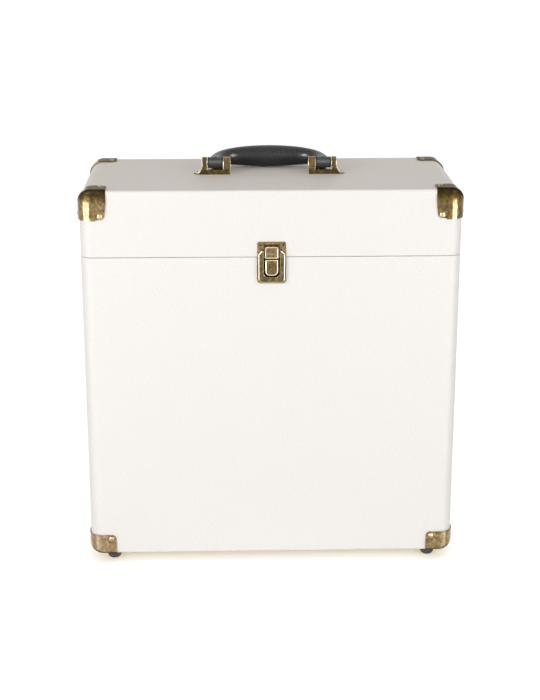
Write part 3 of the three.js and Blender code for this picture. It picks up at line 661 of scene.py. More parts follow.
def mouth_lip():
    """The thin wall inside the mouth of the body, which the lid closes over."""
    low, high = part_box("mouth_lip")
    wall = 3 * MM
    rim_round = 1.1 * MM
    radius = SIDE_ROUND - (HALF_WIDTH - high.x)
    bm = block(low, high)
    for side in (LEFT, RIGHT):
        for face in (FRONT, BACK):
            tip = Vector((high.x * side.x, high.y * face.y, 0))
            round_edge(bm, tip, side, face, radius, 6)
    ends = [face for face in bm.faces if abs(face.normal.z) > 0.9]
    bmesh.ops.delete(bm, geom=ends, context="FACES")
    bmesh.ops.solidify(bm, geom=bm.faces[:], thickness=wall)
    outwards(bm)
    bevel(bm, edges_at(bm, 2, high.z), rim_round, 4)
    dress("lip_band", bm, LINING, "case_body", ["mouth_lip"])


# Stamped corners. The long leg lies on the front of the lid, or under the body.

corner_low, corner_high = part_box("corner_top_front_left")
CORNER_ALONG = corner_high.x + HALF_WIDTH
CORNER_SHORT = corner_high.y + HALF_DEPTH
CORNER_LONG = lid_high.z - corner_low.z
BRASS_OUT = corner_high.z - lid_high.z
BRASS_SHEET = 1.2 * MM
TIP_ROUND = 4.5 * MM
GRID_STEP = 1.0 * MM

TAB_WIDTH = 9.5 * MM
TAB_LENGTH = 8 * MM
TAB_SHORTER = 1 * MM
TAB_PRESSED = 0.45 * MM
TAB_RAMP = 1.0 * MM
TAB_FOOT = 1.6 * MM
TAB_RIPPLE = 0.35 * MM
RIPPLE_LENGTH = 1.7 * MM
SLIT = 0.9 * MM
LONG_SLIT = 0.35 * MM
SLIT_SHIFT = 0.4 * MM

CROWN_STARTS = 10.5 * MM
CROWN_FULL = 5.5 * MM
CROWN_SLOPE = 0.17
TAPER = 1.7 * MM
TAPER_STARTS = 8 * MM
CREASE_START = Vector((CORNER_ALONG - TAB_LENGTH, 11.6 * MM, 0))
CREASE_END = Vector((10 * MM, 7 * MM, 0))
CREASE_WIDTH = 1.5 * MM
CREASE_RISE = 0.5 * MM

NAIL_HEAD = 3.1 * MM
NAIL_FROM_EDGE = 5 * MM
NAIL_FROM_TIP = 4.2 * MM
HIGH_DOME = 1.9 * MM
LOW_DOME = 1.3 * MM


def in_box(point, low, high):
    return all(low[axis] < point[axis] < high[axis] for axis in range(3))


def corner_cuts(bm):
    """Open the slits beside the nail tabs, shorten the front tab and round the free tips."""
    far = 1.0
    edge = BRASS_OUT / 2
    long_end = -CORNER_LONG
    slit_x = CORNER_ALONG - TAB_WIDTH
    slit_y = CORNER_SHORT - TAB_LENGTH + SLIT_SHIFT
    slit_z = long_end + TAB_LENGTH - SLIT_SHIFT
    for x in (slit_x - LONG_SLIT, slit_x, CORNER_ALONG - TAB_LENGTH):
        split(bm, RIGHT * x, RIGHT)
    for y in (slit_y - SLIT, slit_y, CORNER_SHORT - TAB_LENGTH):
        split(bm, BACK * y, BACK)
    for z in (long_end + TAB_SHORTER, long_end + TAB_LENGTH, slit_z, slit_z + SLIT):
        split(bm, UP * z, UP)
    gaps = (
        ((slit_x - LONG_SLIT, -far, -far), (slit_x, -edge, long_end + TAB_LENGTH)),
        ((slit_x - LONG_SLIT, -far, -far), (far, -edge, long_end + TAB_SHORTER)),
        ((CORNER_ALONG - TAB_LENGTH, slit_y - SLIT, edge), (far, slit_y, far)),
        ((-far, CORNER_SHORT - TAB_LENGTH, slit_z), (-edge, far, slit_z + SLIT)))
    waste = [
        face for face in bm.faces
        if any(in_box(middle_of(face), low, high) for low, high in gaps)]
    bmesh.ops.delete(bm, geom=waste, context="FACES")
    tips = (
        (CORNER_ALONG, -BRASS_OUT, long_end + TAB_SHORTER),
        (CORNER_ALONG, CORNER_SHORT, BRASS_OUT),
        (-BRASS_OUT, CORNER_SHORT, long_end))
    for tip in tips:
        nearest = min(bm.verts, key=lambda vert: (vert.co - Vector(tip)).length)
        bevel(bm, [nearest], TIP_ROUND, 6, "VERTICES")


def corner_grid(bm):
    """Cut the flat legs into small squares, and the long leg from its top edge down."""
    off_the_slits = 0.47
    for axis, start, reach in (
            (RIGHT, SIDE_ROUND, CORNER_ALONG), (BACK, SIDE_ROUND, CORNER_SHORT),
            (DOWN, 0, CORNER_LONG)):
        for line in range(int((reach - start) / GRID_STEP)):
            split(bm, axis * (start + (line + off_the_slits) * GRID_STEP), axis)


def pressed(across, along, tab_across, tab_along, ramp):
    """How far a point of a leg sinks with its nail tab: fully on the tab, softly round it."""
    ripple = TAB_RIPPLE * math.sin(across / RIPPLE_LENGTH)
    inward = smooth_step((across - tab_across) / ramp)
    downward = smooth_step((along - tab_along - ripple) / TAB_FOOT)
    return TAB_PRESSED * inward * downward


def crease(point):
    """How strongly a point of the cap leg belongs to the crease beside its tab, from 0 to 1."""
    weaker_at_end = 0.6
    flat = Vector((point.x, point.y, 0))
    line = CREASE_END - CREASE_START
    share = min(max((flat - CREASE_START).dot(line) / line.length_squared, 0), 1)
    away = (flat - CREASE_START - line * share).length
    return (1 - smooth_step(away / CREASE_WIDTH)) * (1 - weaker_at_end * share)


def crown_lean(depth):
    """How far the front leans back at a depth under the top. Its slope sets in softly."""
    span = CROWN_STARTS - CROWN_FULL
    into = min(max((CROWN_STARTS - depth) / span, 0), 1)
    soft = CROWN_SLOPE * span * into * into * into * (1 - into / 2)
    return soft + CROWN_SLOPE * max(CROWN_FULL - max(depth, 0), 0)


def tab_taper(across, along):
    """How far the long leg's outline and its tab draw in towards the free end."""
    share = (across - SIDE_ROUND) / (CORNER_ALONG - SIDE_ROUND)
    return TAPER * share * smooth_step((along - TAPER_STARTS) / (CORNER_LONG - TAPER_STARTS))


def corner_relief(bm):
    """Press the nail tabs in, lean the crown back and raise the crease beside the cap's tab."""
    on_leg = BRASS_OUT * 0.9
    slit_side = CORNER_ALONG - TAB_WIDTH - LONG_SLIT
    along_tab = CORNER_ALONG - TAB_LENGTH
    short_tab = CORNER_SHORT - TAB_LENGTH
    long_tab = CORNER_LONG - TAB_LENGTH
    long_lead = 2 * MM
    short_lead = 1.5 * MM
    for vert in bm.verts:
        x, y, z = vert.co
        front = smooth_step((SIDE_ROUND - y) / SIDE_ROUND)
        if x > SIDE_ROUND and y < -BRASS_OUT / 2:
            vert.co.x -= tab_taper(x, -z)
        if y < -on_leg:
            vert.co.y += pressed(x, -z, slit_side, long_tab - long_lead, LONG_SLIT)
        if z > on_leg:
            vert.co.z -= pressed(y, x, short_tab, along_tab - short_lead, TAB_RAMP)
            vert.co.z += CREASE_RISE * crease(vert.co)
        if x < -on_leg:
            vert.co.x += pressed(-z, y, long_tab, short_tab - short_lead, TAB_RAMP)
        vert.co.y += crown_lean(-z) * front


def corner_marks(bm):
    """Painted shade on the long leg's slit walls, a painted dark reflection on its crown, and painted
    highlights along the cap's bend and crease.
    """
    slit_painted_shade = 0.9
    crown_dark_reflection = 0.97
    crown_clear = 3 * MM
    bend_highlight = 0.3
    bend_middle = 66
    bend_spread = 22
    crease_highlight = 0.6
    wear_and_highlight = marks(bm, "wear_and_highlight")
    painted_shade = marks(bm, "painted_shade")
    for face in bm.faces:
        middle = middle_of(face)
        on_flat = middle.x > SIDE_ROUND
        # Painted shade on the flat leg's walls that face left: the slit and the tab's step
        if on_flat and middle.z < 0 and face.normal.x < -0.35:
            face[painted_shade] = slit_painted_shade
        # A painted dark reflection, darkest at the top of the crown
        elif face.normal.y < -0.2 and face.normal.z < 0.9:
            face[painted_shade] = crown_dark_reflection * (1 - smooth_step((-middle.z - crown_clear) / CROWN_STARTS))
        # A painted highlight along the bend, and another along the crease
        elif middle.z > 0 and face.normal.z > 0.2:
            turn = math.degrees(math.atan2(face.normal.z, -face.normal.x))
            rubbed_and_highlit = crease_highlight * crease(middle) if on_flat else 0
            face[wear_and_highlight] = bend_highlight * (1 - smooth_step(abs(turn - bend_middle) / bend_spread)) + rubbed_and_highlit


def corner_stamping():
    size = Vector((CORNER_ALONG, CORNER_SHORT, CORNER_LONG))
    bm = eased_corner(size, BRASS_OUT, side_steps=22, front_steps=6)
    corner_cuts(bm)
    corner_grid(bm)
    corner_relief(bm)
    bmesh.ops.remove_doubles(bm, verts=bm.verts[:], dist=0.03 * MM)
    bmesh.ops.solidify(bm, geom=bm.faces[:], thickness=BRASS_SHEET)
    outwards(bm)
    ease(bm, sharp_edges(bm, 55), 0.22 * MM, worn_and_highlit=0.35)
    corner_marks(bm)
    mesh = bpy.data.meshes.new("corner stamping")
    bm.to_mesh(mesh)
    bm.free()
    return mesh


def domed_nail(dome):
    """A nail whose domed head is scuffed a little on top, with painted shade round its rim."""
    shank = 0.9 * MM
    shank_end = -5 * MM
    rim = 0.15 * MM
    angles = [math.radians(angle) for angle in range(0, 90, 10)]
    profile = [(0, shank_end), (shank, shank_end), (shank, 0), (NAIL_HEAD - 0.2 * MM, 0)]
    profile += [(NAIL_HEAD * math.cos(a), rim + dome * math.sin(a)) for a in angles]
    profile += [(0, rim + dome)]
    bm = turned(profile, 28)
    wear_and_highlight = marks(bm, "wear_and_highlight")
    painted_shade = marks(bm, "painted_shade")
    for face in bm.faces:
        lifted = middle_of(face).z / dome
        face[wear_and_highlight] = 0.1 * smooth_step((lifted - 0.15) / 0.4)
        # Painted shade round the rim of the head
        face[painted_shade] = 0.6 * (1 - smooth_step((lifted - 0.05) / 0.25))
    return bm


def corner_place(level, width_hand, depth_hand):
    """Where a corner goes. The bottom ones are tipped, so that the long leg lies underneath."""
    top = level == "top"
    corner_z = lid_high.z if top else body_low.z
    tip = Matrix.Identity(4) if top else Matrix.Rotation(QUARTER, 4, "X")
    move = Matrix.Translation((-HALF_WIDTH * width_hand, -HALF_DEPTH * depth_hand, corner_z))
    return move @ Matrix.Diagonal((width_hand, depth_hand, 1, 1)) @ tip


def dress_nails(name, body, place):
    """The nails of one corner. Those that look to the front or back are paler and rounder."""
    on_tab = BRASS_OUT - TAB_PRESSED
    across = CORNER_ALONG - NAIL_FROM_EDGE
    along = CORNER_LONG - NAIL_FROM_TIP
    short = CORNER_SHORT - NAIL_FROM_TIP
    seats = (
        ("wide", Vector((across - tab_taper(across, along), -on_tab, -along)), FRONT),
        ("cap", Vector((across, short, on_tab)), UP),
        ("side", Vector((-on_tab, short, -along)), LEFT))
    for leg, seat, look in seats:
        outward = (place.to_3x3() @ look).normalized()
        pale = abs(outward.y) > 0.9
        finish = NAIL_BRASS if pale else DARK_BRASS
        nail = stand(domed_nail(HIGH_DOME if pale else LOW_DOME), place @ seat, outward)
        dress(f"domed_nail_{name}_{leg}", nail, finish, body,
              [f"nail_{name}_{leg}"])


def dress_corners():
    cap_dark_reflection = 0.8
    # The brass is lighter on the left than on the right, and lighter at the bottom than at the top:
    # painted light and painted shade
    lit_and_shaded_brass = {
        ("bottom", "left"): PALE_BRASS, ("bottom", "right"): BRASS,
        ("top", "left"): BRASS, ("top", "right"): DARK_BRASS}
    stamping = corner_stamping()
    for level, body in (("bottom", "case_body"), ("top", "lid")):
        for face, depth_hand in (("front", 1), ("back", -1)):
            for side, width_hand in (("left", 1), ("right", -1)):
                name = f"{level}_{face}_{side}"
                place = corner_place(level, width_hand, depth_hand)
                bm = bmesh.new()
                bm.from_mesh(stamping)
                bmesh.ops.transform(bm, matrix=place, verts=bm.verts[:])
                if width_hand * depth_hand < 0:
                    bmesh.ops.reverse_faces(bm, faces=bm.faces[:])
                painted_shade = marks(bm, "painted_shade")
                # The up-facing faces of the top corners are painted dark: a painted dark reflection
                if level == "top":
                    put_marks([flat for flat in bm.faces if flat.normal.z > 0.9], painted_shade, cap_dark_reflection)
                dress(f"stamped_corner_{name}", bm, lit_and_shaded_brass[level, side], body,
                      [f"corner_{name}"])
                dress_nails(name, body, place)
    bpy.data.meshes.remove(stamping)


# Feet

def foot_profile(radius, top, stem_top):
    """A small flat, a swelling side with a groove above it, an eased top edge and the stem."""
    flat = 3.2 * MM
    swell = 5 * MM
    eased = 0.3 * MM
    stem = 2.5 * MM
    groove = radius - 0.25 * MM
    profile = [(0, 0), (flat, 0)]
    for angle in range(12, 91, 13):
        turn = math.radians(angle)
        profile += [(flat + (radius - flat) * math.sin(turn), swell * (1 - math.cos(turn)))]
    profile += [(radius, 5.5 * MM), (groove, 5.7 * MM), (groove, 6.1 * MM), (radius, 6.4 * MM)]
    profile += [(radius, top - eased), (radius - eased, top)]
    profile += [(stem, top), (stem, stem_top), (0, stem_top)]
    return profile


def dress_feet():
    under_brass = 0.3 * MM
    top = body_low.z - BRASS_OUT - under_brass
    for face in ("front", "back"):
        for side in ("left", "right"):
            low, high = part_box(f"foot_{face}_{side}")
            bm = turned(foot_profile((high.x - low.x) / 2, top, high.z), 40)
            shift(bm, ((low.x + high.x) / 2, (low.y + high.y) / 2, 0))
            dress(f"rubber_foot_{face}_{side}", bm, RUBBER, "case_body",
                  [f"foot_{face}_{side}"])


# Handle

HANDLE_AXIS = joints["handle_swing"]["pos_m"][2]
grip_low, grip_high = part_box("handle_grip")
BARREL_LENGTH = 15.2 * MM
BARREL_RADIUS = -grip_low.y
PIN_X = grip_high.x - BARREL_LENGTH / 2
GRIP_RADIUS = grip_high.z - HANDLE_AXIS
GRIP_REACH = grip_high.y - GRIP_RADIUS
GRIP_BEND = GRIP_REACH - 3 * MM
BRACKET_TAB = 1.6 * MM
BRACKET_SCREW_X = 73.2 * MM


def grip_line():
    """The middle line of the grip, from the left barrel round to the right one."""
    arm_steps = 2
    bend_steps = 14
    straight_steps = 12
    start = Vector((-PIN_X, 0, HANDLE_AXIS))
    elbow = Vector((-PIN_X, GRIP_REACH, HANDLE_AXIS))
    bend_in = Vector((-PIN_X, GRIP_REACH - GRIP_BEND, HANDLE_AXIS))
    bend_out = Vector((-PIN_X + GRIP_BEND, GRIP_REACH, HANDLE_AXIS))
    centre = Vector((0, GRIP_REACH, HANDLE_AXIS))
    left = [start.lerp(bend_in, step / arm_steps) for step in range(arm_steps)]
    for step in range(bend_steps):
        share = step / bend_steps
        left.append(bend_in.lerp(elbow, share).lerp(elbow.lerp(bend_out, share), share))
    left += [bend_out.lerp(centre, step / straight_steps) for step in range(straight_steps + 1)]
    right = [Vector((-point.x, point.y, point.z)) for point in reversed(left[:-1])]
    return left + right


def moulded_grip():
    """The grip: flat and wide at its arms, round and fullest in the middle."""
    arm_share = 0.14
    fullness = 1.9
    line = grip_line()
    reach = [0.0]
    for before, after in zip(line, line[1:]):
        reach.append(reach[-1] + (after - before).length)
    stations = []
    for index, point in enumerate(line):
        before = line[max(index - 1, 0)]
        after = line[min(index + 1, len(line) - 1)]
        ahead = (after - before).normalized()
        share = min(reach[index], reach[-1] - reach[index]) / reach[-1]
        swell = math.sin(math.pi * share) ** fullness
        height = BARREL_RADIUS + (GRIP_RADIUS - BARREL_RADIUS) * swell
        shoulder = 1 - smooth_step(share / arm_share)
        width = height + (BARREL_LENGTH / 2 - height) * shoulder
        stations.append((point, ahead, ahead.cross(UP), width, height))
    bm = swept(stations, 40)
    dress("moulded_grip", bm, GRIP, "handle", ["handle_grip"])


def barrel_profile():
    """A barrel with fine ridges between two plain rims."""
    half = BARREL_LENGTH / 2
    rim = 1.1 * MM
    rim_eased = 0.4 * MM
    rim_slope = 0.2 * MM
    end = BARREL_RADIUS - 0.5 * MM
    groove = BARREL_RADIUS - 0.55 * MM
    ridge = BARREL_RADIUS - 0.1 * MM
    ridges = 8
    pitch = 2 * (half - rim) / ridges
    profile = [(0, -half), (end, -half), (BARREL_RADIUS, -half + rim_eased)]
    profile += [(BARREL_RADIUS, -half + rim - rim_slope)]
    for number in range(ridges):
        foot = -half + rim + number * pitch
        profile += [(groove, foot), (ridge, foot + pitch / 2)]
    profile += [(groove, half - rim), (BARREL_RADIUS, half - rim + rim_slope)]
    profile += [(BARREL_RADIUS, half - rim_eased), (end, half), (0, half)]
    return profile


def handle_barrels():
    for side, hand in SIDES:
        bm = stand(turned(barrel_profile(), 48), Vector((hand * PIN_X, 0, HANDLE_AXIS)), RIGHT)
        dress(f"handle_barrel_{side}", bm, BARREL, "handle", sharp=30)


def bracket_outline(low, high, base):
    """The right bracket from the front: an inner post, a flared outer post and a screw tab."""
    inner = low.x + 7 * MM
    outer = 62.4 * MM
    post = outer + 5 * MM
    flare = post + 4.6 * MM
    tab = low.z + BRACKET_TAB
    climb = HANDLE_AXIS - tab
    flare_steps = 8
    corners = [(low.x, low.z), (high.x, low.z), (high.x, tab), (flare, tab)]
    for step in range(1, flare_steps):
        share = step / flare_steps
        x = flare + (post - flare) * (1 - (1 - share) ** 2)
        z = tab + climb * share ** 2 * 0.55 + climb * share * 0.45
        corners.append((x, z))
    corners += [(post, HANDLE_AXIS), (post, high.z), (outer, high.z), (outer, base)]
    corners += [(inner, base), (inner, high.z), (low.x, high.z)]
    return [(x, z, 0) for x, z in corners]


def bracket_form(low, high):
    """The right bracket: its posts slim down to round tops, and its tab ends round."""
    foot_high = 5 * MM
    seat = 0.3 * MM
    base = foot_high + low.z - seat
    half = high.y
    slim = half - 0.5 * MM
    steps = 9
    bm = plate(bracket_outline(low, high, base), half, -half)
    split(bm, UP * base, UP)
    for vert in bm.verts:
        climb = max(vert.co.z - base, 0) / (HANDLE_AXIS - base)
        vert.co.y *= 1 - (1 - slim / half) * climb
    axis = Vector((0, 0, HANDLE_AXIS))
    for look in (FRONT, BACK):
        for step in range(1, steps):
            normal = between(look, UP, (step + 0.5) / steps)
            shave(bm, axis + normal * BARREL_RADIUS, normal)
    end = Vector((high.x - half, 0, 0))
    split(bm, end, RIGHT)
    for look in (FRONT, BACK):
        for step in range(steps):
            normal = between(RIGHT, look, (step + 0.5) / (steps + 0.5))
            tip = [face for face in bm.faces if middle_of(face).x > end.x]
            shave(bm, end + normal * half, normal, tip)
    outwards(bm)
    ease(bm, sharp_edges(bm, 40), 0.45 * MM)
    return bm


def screw_head(radius, rise):
    """A low round head with a cross recess."""
    shank = radius * 0.5
    shank_end = -2 * MM
    slot_half = radius * 0.14
    slot_reach = radius * 0.62
    recess_deep = rise * 0.7
    angles = [math.radians(angle) for angle in (15, 30, 45, 60, 75)]
    profile = [(0, shank_end), (shank, shank_end), (shank, 0), (radius, 0)]
    profile += [(radius * math.cos(a), rise * math.sin(a)) for a in angles]
    profile += [(0, rise)]
    bm = turned(profile, 32)
    for look in (LEFT, RIGHT, FRONT, BACK):
        for away in (slot_half, slot_reach):
            split(bm, look * away, look)
    recess = []
    for face in bm.faces:
        middle = middle_of(face)
        narrow, wide = sorted((abs(middle.x), abs(middle.y)))
        if face.normal.z > 0.2 and narrow < slot_half and wide < slot_reach:
            recess.append(face)
    made = bmesh.ops.extrude_face_region(bm, geom=recess)
    bmesh.ops.translate(bm, verts=new_verts(made), vec=(0, 0, -recess_deep))
    bmesh.ops.delete(bm, geom=recess, context="FACES")
    outwards(bm)
    return bm


def dress_brackets():
    pin_end = [(0, 0), (1.4 * MM, 0), (2 * MM, 0.5 * MM)]
    low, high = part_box("handle_bracket_right")
    for side, hand in SIDES:
        bm = bracket_form(low, high)
        if hand < 0:
            bmesh.ops.scale(bm, verts=bm.verts[:], vec=(-1, 1, 1))
            bmesh.ops.reverse_faces(bm, faces=bm.faces[:])
        dress(f"cast_bracket_{side}", bm, DARK_BRASS, "lid",
              [f"handle_bracket_{side}"])
        pin = turned_pin(f"handle_pin_{side}", pin_end, 24)
        dress(f"grip_pin_{side}", pin, STEEL, "lid", [f"handle_pin_{side}"])
        seat = Vector((hand * BRACKET_SCREW_X, 0, low.z + BRACKET_TAB))
        screw = stand(screw_head(1.9 * MM, 0.7 * MM), seat, UP)
        dress(f"bracket_screw_{side}", screw, STEEL, "lid")


# Press latch

base_low, base_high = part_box("latch_base")
LATCH_HALF = base_high.x
FRONT_FACE = body_low.y
LATCH_FRONT = FRONT_FACE - 4.5 * MM
LATCH_FLOOR = FRONT_FACE - 1.3 * MM
HOUSING_HALF = LATCH_HALF - 1.2 * MM
CHANNEL_HALF = 8.0 * MM
CHANNEL_LOW = SEAM - 19.4 * MM
PLATE_NAIL_X = 11.2 * MM


def paint_shade_behind_hasp(bm):
    """Paint shade on the plate round the hasp, in bands that grow darker towards it: painted shade."""
    behind_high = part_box("latch_hasp")[1]
    painted_shade = marks(bm, "painted_shade")
    for wider, amount in ((1.8 * MM, 0.2), (1.4 * MM, 0.4), (1.0 * MM, 0.6), (0.6 * MM, 0.75)):
        reach = behind_high.x + wider
        crown = behind_high.z + wider
        for side in (LEFT, RIGHT):
            split(bm, side * reach, side)
        split(bm, UP * crown, UP)
        behind = [
            face for face in bm.faces
            if abs(middle_of(face).x) < reach and middle_of(face).z < crown]
        put_marks(behind, painted_shade, amount)


def add_knuckle(bm, front):
    """The short tube that holds the hasp's pin, and the web that carries it on the plate."""
    half = 2.4 * MM
    radius = 0.9 * MM
    pin_low, pin_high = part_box("latch_hasp_pin")
    centre = (pin_low + pin_high) / 2
    tube = turned([(0, -half), (radius, -half), (radius, half), (0, half)], 20)
    join(bm, stand(tube, centre, RIGHT))
    web_low = (-half, centre.y + 0.3 * MM, centre.z - radius)
    web_high = (half, front + 0.2 * MM, centre.z + radius)
    join(bm, block(web_low, web_high))


def latch_plate():
    low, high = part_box("latch_lid_plate")
    front = FRONT_FACE - 1.1 * MM
    nail_z = high.z - 4.1 * MM
    hole = 1.15 * MM
    clear_of_hole = 2 * MM
    corners = [
        (-LATCH_HALF, low.z, 0), (LATCH_HALF, low.z, 0),
        (LATCH_HALF, high.z, 2.2 * MM), (-LATCH_HALF, high.z, 2.2 * MM)]
    holes = [(-PLATE_NAIL_X, nail_z, hole), (PLATE_NAIL_X, nail_z, hole)]
    bm = plate(corners, FRONT_FACE, front, holes)
    outline = []
    for edge in edges_at(bm, 1, front):
        point = edge.verts[0].co
        if abs(point.z - nail_z) > clear_of_hole or abs(point.x) > PLATE_NAIL_X + clear_of_hole:
            outline.append(edge)
    ease(bm, outline, 0.22 * MM, worn_and_highlit=0.6)
    paint_shade_behind_hasp(bm)
    add_knuckle(bm, front)
    dress("lid_plate", bm, BRASS, "lid", ["latch_lid_plate"])
    plate_nails(nail_z)


def plate_nails(nail_z):
    """Sunk nails in the two holes of the plate, painted dark: painted shade in the holes."""
    radius = 0.9 * MM
    profile = [(0, -0.9 * MM), (radius, -0.9 * MM), (radius, 0.1 * MM), (0, 0.35 * MM)]
    for side, hand in SIDES:
        nail = stand(turned(profile, 20), Vector((hand * PLATE_NAIL_X, FRONT_FACE, nail_z)), FRONT)
        painted_shade = marks(nail, "painted_shade")
        put_marks(nail.faces, painted_shade, 0.8)
        dress(f"plate_nail_{side}", nail, DARK_BRASS, "lid")


def latch_floor():
    """The thin plate on the body, painted near black where the channel leaves it open: painted shade."""
    low_round = 4 * MM
    cup_hole = 4 * MM
    corners = [
        (-LATCH_HALF, base_low.z, low_round), (LATCH_HALF, base_low.z, low_round),
        (LATCH_HALF, body_high.z, 0), (-LATCH_HALF, body_high.z, 0)]
    floor = plate(corners, FRONT_FACE, LATCH_FLOOR, [(0, CUP_Z, cup_hole)])
    ease(floor, edges_at(floor, 1, LATCH_FLOOR), 0.25 * MM, worn_and_highlit=0.7)
    painted_shade = marks(floor, "painted_shade")
    for side in (LEFT, RIGHT):
        split(floor, side * CHANNEL_HALF, side)
    split(floor, UP * CHANNEL_LOW, UP)
    sunk = [
        face for face in floor.faces
        if abs(middle_of(face).x) < CHANNEL_HALF and middle_of(face).z > CHANNEL_LOW]
    put_marks(sunk, painted_shade, 1.0)
    return floor


def housing_outline():
    """The raised housing with its channel, open at the top, anticlockwise from the low left."""
    shoulder = 3.6 * MM
    low_round = 3.4 * MM
    shoulder_round = 0.8 * MM
    slant = 2.6 * MM
    bottom = base_low.z + 1.2 * MM
    top = base_high.z
    return [
        (-HOUSING_HALF, bottom, low_round), (HOUSING_HALF, bottom, low_round),
        (HOUSING_HALF, top - shoulder, shoulder_round), (HOUSING_HALF - shoulder, top, shoulder_round),
        (CHANNEL_HALF, top, 0), (CHANNEL_HALF, CHANNEL_LOW + slant, 0),
        (CHANNEL_HALF - slant, CHANNEL_LOW, 0), (-CHANNEL_HALF + slant, CHANNEL_LOW, 0),
        (-CHANNEL_HALF, CHANNEL_LOW + slant, 0), (-CHANNEL_HALF, top, 0),
        (-HOUSING_HALF + shoulder, top, shoulder_round), (-HOUSING_HALF, top - shoulder, shoulder_round)]


def ease_housing(housing):
    """A broad round outside and a narrow one along the channel, both painted pale: scuffing and painted
    highlight, strongest along the channel.
    """
    top = base_high.z + SAME_PLANE
    reach = CHANNEL_HALF + SAME_PLANE
    front_edges = edges_at(housing, 1, LATCH_FRONT)
    inner = [
        edge for edge in front_edges
        if all(abs(vert.co.x) < reach and vert.co.z < top for vert in edge.verts)
        and sum(vert.co.z for vert in edge.verts) / 2 > CHANNEL_LOW - SAME_PLANE]
    outer = [edge for edge in front_edges if edge not in inner]
    ease(housing, outer, 1.0 * MM, steps=4, worn_and_highlit=0.4)
    reach = CHANNEL_HALF + 0.1 * MM
    inner = [
        edge for edge in edges_at(housing, 1, LATCH_FRONT, 40)
        if all(abs(vert.co.x) < reach for vert in edge.verts)]
    ease(housing, inner, 0.6 * MM, steps=3)


def channel_marks(housing):
    """The channel's walls are painted dark, painted shade, but for the two slanting ones at its foot,
    which carry a painted highlight.
    """
    painted_shade = marks(housing, "painted_shade")
    wear_and_highlight = marks(housing, "wear_and_highlight")
    reach = CHANNEL_HALF + 0.1 * MM
    foot = CHANNEL_LOW - 0.1 * MM
    walls = [
        face for face in housing.faces
        if abs(face.normal.y) < 0.1 and abs(middle_of(face).x) < reach and middle_of(face).z > foot]
    slanting = [face for face in walls if abs(face.normal.x) > 0.5 and face.normal.z > 0.5]
    put_marks(walls, painted_shade, 1.0)
    put_marks(slanting, painted_shade, 0)
    put_marks(slanting, wear_and_highlight, 1.0)


def button_cup():
    """The cup behind the button, sunk in the board, that the spring stands in."""
    outer = 4.6 * MM
    inner = 4.05 * MM
    lip = 0.1 * MM
    depth = base_high.y - FRONT_FACE
    outside = depth - 0.1 * MM
    inside = depth - 0.8 * MM
    profile = [(0, outside), (outer, outside), (outer, lip), (inner, lip), (inner, inside), (0, inside)]
    return stand(turned(profile, 32), Vector((0, FRONT_FACE, CUP_Z)), BACK)


def latch_housing():
    floor = latch_floor()
    housing = plate(housing_outline(), LATCH_FLOOR, LATCH_FRONT)
    ease_housing(housing)
    channel_marks(housing)
    join(housing, floor)
    join(housing, button_cup())
    dress("latch_housing", housing, DARK_BRASS, "case_body", ["latch_base"])


def dish_front(bm, low, slope):
    """Sink the front face inside a rim painted bright, as scuffing and a painted highlight, and ease the
    sharp edges round it.
    """
    rim = 0.6 * MM
    rim_wear_and_highlight = 0.7
    depth = 0.35 * MM
    wear_and_highlight = marks(bm, "wear_and_highlight")
    face = widest_face(bm, FRONT)
    for width, worn_and_highlit in ((rim, rim_wear_and_highlight), (slope, rim_wear_and_highlight * 0.6)):
        made = bmesh.ops.inset_region(bm, faces=[face], thickness=width, use_even_offset=True)
        put_marks(made["faces"], wear_and_highlight, worn_and_highlit)
    bmesh.ops.translate(bm, verts=face.verts[:], vec=BACK * depth)
    near_front = [edge for edge in sharp_edges(bm, 35) if edge.verts[0].co.y < low.y + 1 * MM]
    ease(bm, near_front, 0.16 * MM, worn_and_highlit=0.9)


def latch_hasp():
    pin_end = [(0, 0), (0.45 * MM, 0), (0.6 * MM, 0.15 * MM)]
    low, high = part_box("latch_hasp")
    side_round = 3.2 * MM
    crown_round = 0.7 * MM
    roll = high.z - joints["hasp_swing"]["pos_m"][2]
    bm = block(low, high)
    for side, edge_x in ((LEFT, low.x), (RIGHT, high.x)):
        round_edge(bm, Vector((edge_x, 0, high.z)), side, UP, side_round, 10)
    round_edge(bm, Vector((0, high.y, high.z)), BACK, UP, roll, 6)
    round_edge(bm, Vector((0, low.y, high.z)), FRONT, UP, crown_round, 3)
    dish_front(bm, low, 0.45 * MM)
    dress("latch_flap", bm, BRASS, "hasp", ["latch_hasp"])
    pin = turned_pin("latch_hasp_pin", pin_end, 20)
    dress("flap_pin", pin, STEEL, "lid", ["latch_hasp_pin"])


def latch_button():
    low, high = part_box("latch_button")
    thick = 1.7 * MM
    low_round = 4.6 * MM
    stem = 1.6 * MM
    eased = 0.3 * MM
    bm = block((low.x, low.y, low.z), (high.x, low.y + thick, high.z))
    for side, edge_x in ((LEFT, low.x), (RIGHT, high.x)):
        round_edge(bm, Vector((edge_x, 0, low.z)), side, DOWN, low_round, 12)
    dish_front(bm, low, 0.5 * MM)
    stem_start = Vector((0, low.y + thick - 0.1 * MM, CUP_Z))
    length = high.y - stem_start.y
    profile = [(0, 0), (stem, 0), (stem, length - eased), (stem - eased, length), (0, length)]
    join(bm, stand(turned(profile, 24), stem_start, BACK))
    dress("release_button", bm, DARK_BRASS, "button", ["latch_button"])


